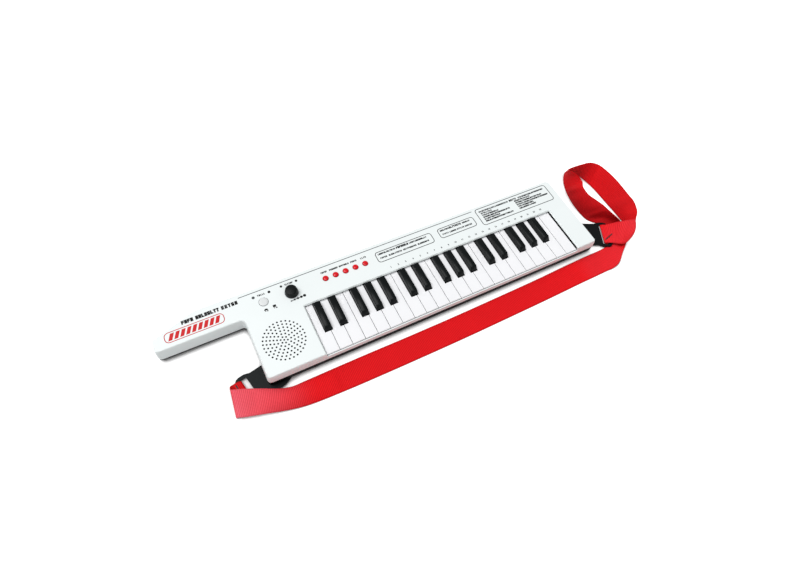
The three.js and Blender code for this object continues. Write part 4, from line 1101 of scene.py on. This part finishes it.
def wordsGroup():
    kinds = {"Letter Height": "Float", "Spacing": "Float", "Letters": "Collection", "Seed": "Int"}
    group, given, made = newGroup("printedWords", {**kinds, "Ink": "Material"})
    curve = addNode(group, "GeometryNodeMeshToCurve", inputs={"Mesh": given["Geometry"]})
    inputs = {"Curve": curve, "Length": given["Spacing"]}
    feet = addNode(group, "GeometryNodeCurveToPoints", {"mode": "LENGTH"}, inputs)
    inputs = {"Collection": given["Letters"], "Separate Children": True}
    letters = addNode(group, "GeometryNodeCollectionInfo", inputs=inputs)
    inputs = {"Min": 0, "Max": len(lettering["strokes"]) - 1, "Seed": given["Seed"]}
    chosen = addNode(group, "FunctionNodeRandomValue", {"data_type": "INT"}, inputs)
    inputs = {
        "Points": feet,
        "Instance": letters,
        "Pick Instance": True,
        "Instance Index": chosen,
        "Scale": given["Letter Height"],
    }
    written = addNode(group, "GeometryNodeInstanceOnPoints", inputs=inputs)
    return endGroup(group, written, given["Ink"], made)


def letterCollection():
    # each letter is one unit high, and as thick as the film once it is scaled to the small size
    letters = bpy.data.collections.new("letters")
    scene.collection.children.link(letters)
    film = printing["film"] / lettering["small"]
    across, up = lettering["letterShare"] / 3, 1 / 5  # the grid's steps
    for i, strokes in enumerate(lettering["strokes"]):
        mesh = bmesh.new()
        for x0, y0, x1, y1 in strokes:
            box = bmesh.ops.create_cube(mesh, size=1)["verts"]
            middle = ((x0 + x1) / 2 * across, (y0 + y1) / 2 * up, film / 2)
            wide, tall = x1 - x0 + lettering["weight"], y1 - y0 + lettering["weight"]
            bmesh.ops.scale(mesh, vec=(wide * across, tall * up, film), verts=box)
            bmesh.ops.translate(mesh, vec=middle, verts=box)
        data = meshFrom(mesh, f"letter{i}")
        letters.objects.link(bpy.data.objects.new(data.name, data))
    return letters


def addWords():
    group, letters = wordsGroup(), letterCollection()
    small = [(word, y) for y, *words in smallRows for word in words]
    bold = []
    for y, before, title, after in headings:
        small += [(before, y + headingLift), (after, y + headingLift)]
        bold.append((title, y))
    for x, lengths in listRows:
        small += [((x, x + n), listTop - listPitch * i) for i, n in enumerate(lengths)]
    foot, *title = neckTitle
    sets = {
        "panelWords": (small, lettering["small"]),
        "panelHeadings": (bold, lettering["bold"]),
        "neckTitle": ([(word, foot) for word in title], lettering["title"]),
    }
    for name, (words, height) in sets.items():
        letter = height * lettering["letterShare"]
        z = printing["low"]
        feet = polyline(name, [[(x0, y, z), (x1 - letter, y, z)] for (x0, x1), y in words])
        settings = {
            "Letter Height": height * mm,
            "Spacing": (letter + height * lettering["spacingShare"]) * mm,
            "Letters": letters,
            "Seed": lettering["seed"],
            "Ink": inks["black"],
        }
        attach(grown(name, feet, group, settings), "instrument")
    for letter in list(letters.objects):
        bpy.data.objects.remove(letter)
    bpy.data.collections.remove(letters)


addWords()

# Plain numbers over the keys

keyNumbers = {
    "count": 23,
    "from": 144.8,
    "to": 427.6,
    "foot": 89.2,
    "size": 3.9,
    "weight": 0.16,
    "curveSteps": 3,
    "weld": 0.0005,
}


def addKeyNumbers():
    mesh = bmesh.new()
    for i in range(keyNumbers["count"]):
        text = bpy.data.curves.new("keyNumber", "FONT")
        text.body = str(i + 1)
        text.size = keyNumbers["size"] * mm
        text.align_x = "CENTER"
        text.resolution_u = keyNumbers["curveSteps"]
        text.offset = keyNumbers["weight"] * mm
        text.extrude = printing["film"] / 2 * mm
        figure = plainMesh(addObject("keyNumber", text))
        share = i / (keyNumbers["count"] - 1)
        x = keyNumbers["from"] + (keyNumbers["to"] - keyNumbers["from"]) * share
        figure.transform(Matrix.Translation(place(x, keyNumbers["foot"], printing["middle"])))
        mesh.from_mesh(figure)
    bmesh.ops.remove_doubles(mesh, verts=mesh.verts, dist=keyNumbers["weld"] * mm)
    data = meshFrom(mesh, "keyNumbers")
    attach(addObject("keyNumbers", data, inks["black"]), "instrument")


addKeyNumbers()

# Dots, signs and the neck's stripes

signs = {
    # x, y, radius of the dots beside the controls
    "greyDots": ((-62.8, 124.8, 2.3),),
    "blackDots": ((-38.8, 124.9, 2.1), (-19.7, 126.4, 1.9), (4, 126.7, 1.9)),
    "rampDots": {"from": (-14.5, 97.2), "to": (6.3, 98.3), "radii": (1.15, 1.4, 1.7, 2, 2.3)},
    "rampLine": 0.55,  # half the height of the bar that joins the dots
    # two signs in front of the controls: the half disc of one, then their boxes' left, front, right, back
    "halfDisc": (-52.5, 97.6, 3),
    "boxes": (
        (-41.8, 97.9, -37.2, 101.8),
        (-54.4, 95.8, -53, 97.2),
        (-51.7, 95.3, -49.9, 97.2),
        (-40.9, 95.8, -39.5, 97.2),
        (-38.2, 95.3, -36.4, 97.2),
    ),
}
neckStripes = {
    "left": -193,
    "right": -110,
    "front": 104.5,
    "back": 120,
    "count": 9,
    "slant": 5,
    "barShare": 0.68,
    "border": 1.1,
    "inset": 2.4,
    "corner": 6,
}


def addSigns():
    low, high = printing["low"], printing["high"]
    grey = [arc(x, y, r) for x, y, r in signs["greyDots"]]
    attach(plates("greyDots", grey, low, high, inks["grey"]), "instrument")

    black = [arc(x, y, r) for x, y, r in signs["blackDots"]]
    ramp = signs["rampDots"]
    (x0, y0), (x1, y1) = ramp["from"], ramp["to"]
    steps = len(ramp["radii"]) - 1
    dots = [(x0 + (x1 - x0) * i / steps, y0 + (y1 - y0) * i / steps, r) for i, r in enumerate(ramp["radii"])]
    black += [arc(x, y, r, steps=16) for x, y, r in dots]
    half = signs["rampLine"]
    for (xa, ya, ra), (xb, yb, rb) in zip(dots, dots[1:]):
        black.append([(xa + ra, ya - half), (xb - rb, yb - half), (xb - rb, yb + half), (xa + ra, ya + half)])
    black.append(arc(*signs["halfDisc"], end=180, steps=10))
    for left, front, right, back in signs["boxes"]:
        black.append([(left, front), (right, front), (right, back), (left, back)])
    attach(plates("blackSigns", black, low, high, inks["black"]), "instrument")


def addNeckStripes():
    s = neckStripes
    low, high = printing["low"], printing["high"]
    left, right = s["left"] + s["inset"], s["right"] - s["inset"]
    front, back = s["front"] + s["inset"], s["back"] - s["inset"]
    pitch = (right - left - s["slant"]) / s["count"]
    bar = pitch * s["barShare"]
    bars = []
    for i in range(s["count"]):
        x = left + pitch * (i + (1 - s["barShare"]) / 2)
        bars.append([(x, front), (x + bar, front), (x + bar + s["slant"], back), (x + s["slant"], back)])
    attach(plates("neckBars", bars, low, high, inks["red"]), "instrument")
    edge = roundedFrame(s["left"], s["front"], s["right"], s["back"], s["corner"])
    border = polyline("neckBorder", [edge])
    settings = {"Line Width": s["border"] * mm, "Film": printing["film"] * mm, "Ink": inks["red"]}
    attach(grown("neckBorder", border, ruledLines, settings), "instrument")


addSigns()
addNeckStripes()
print("cover printed")
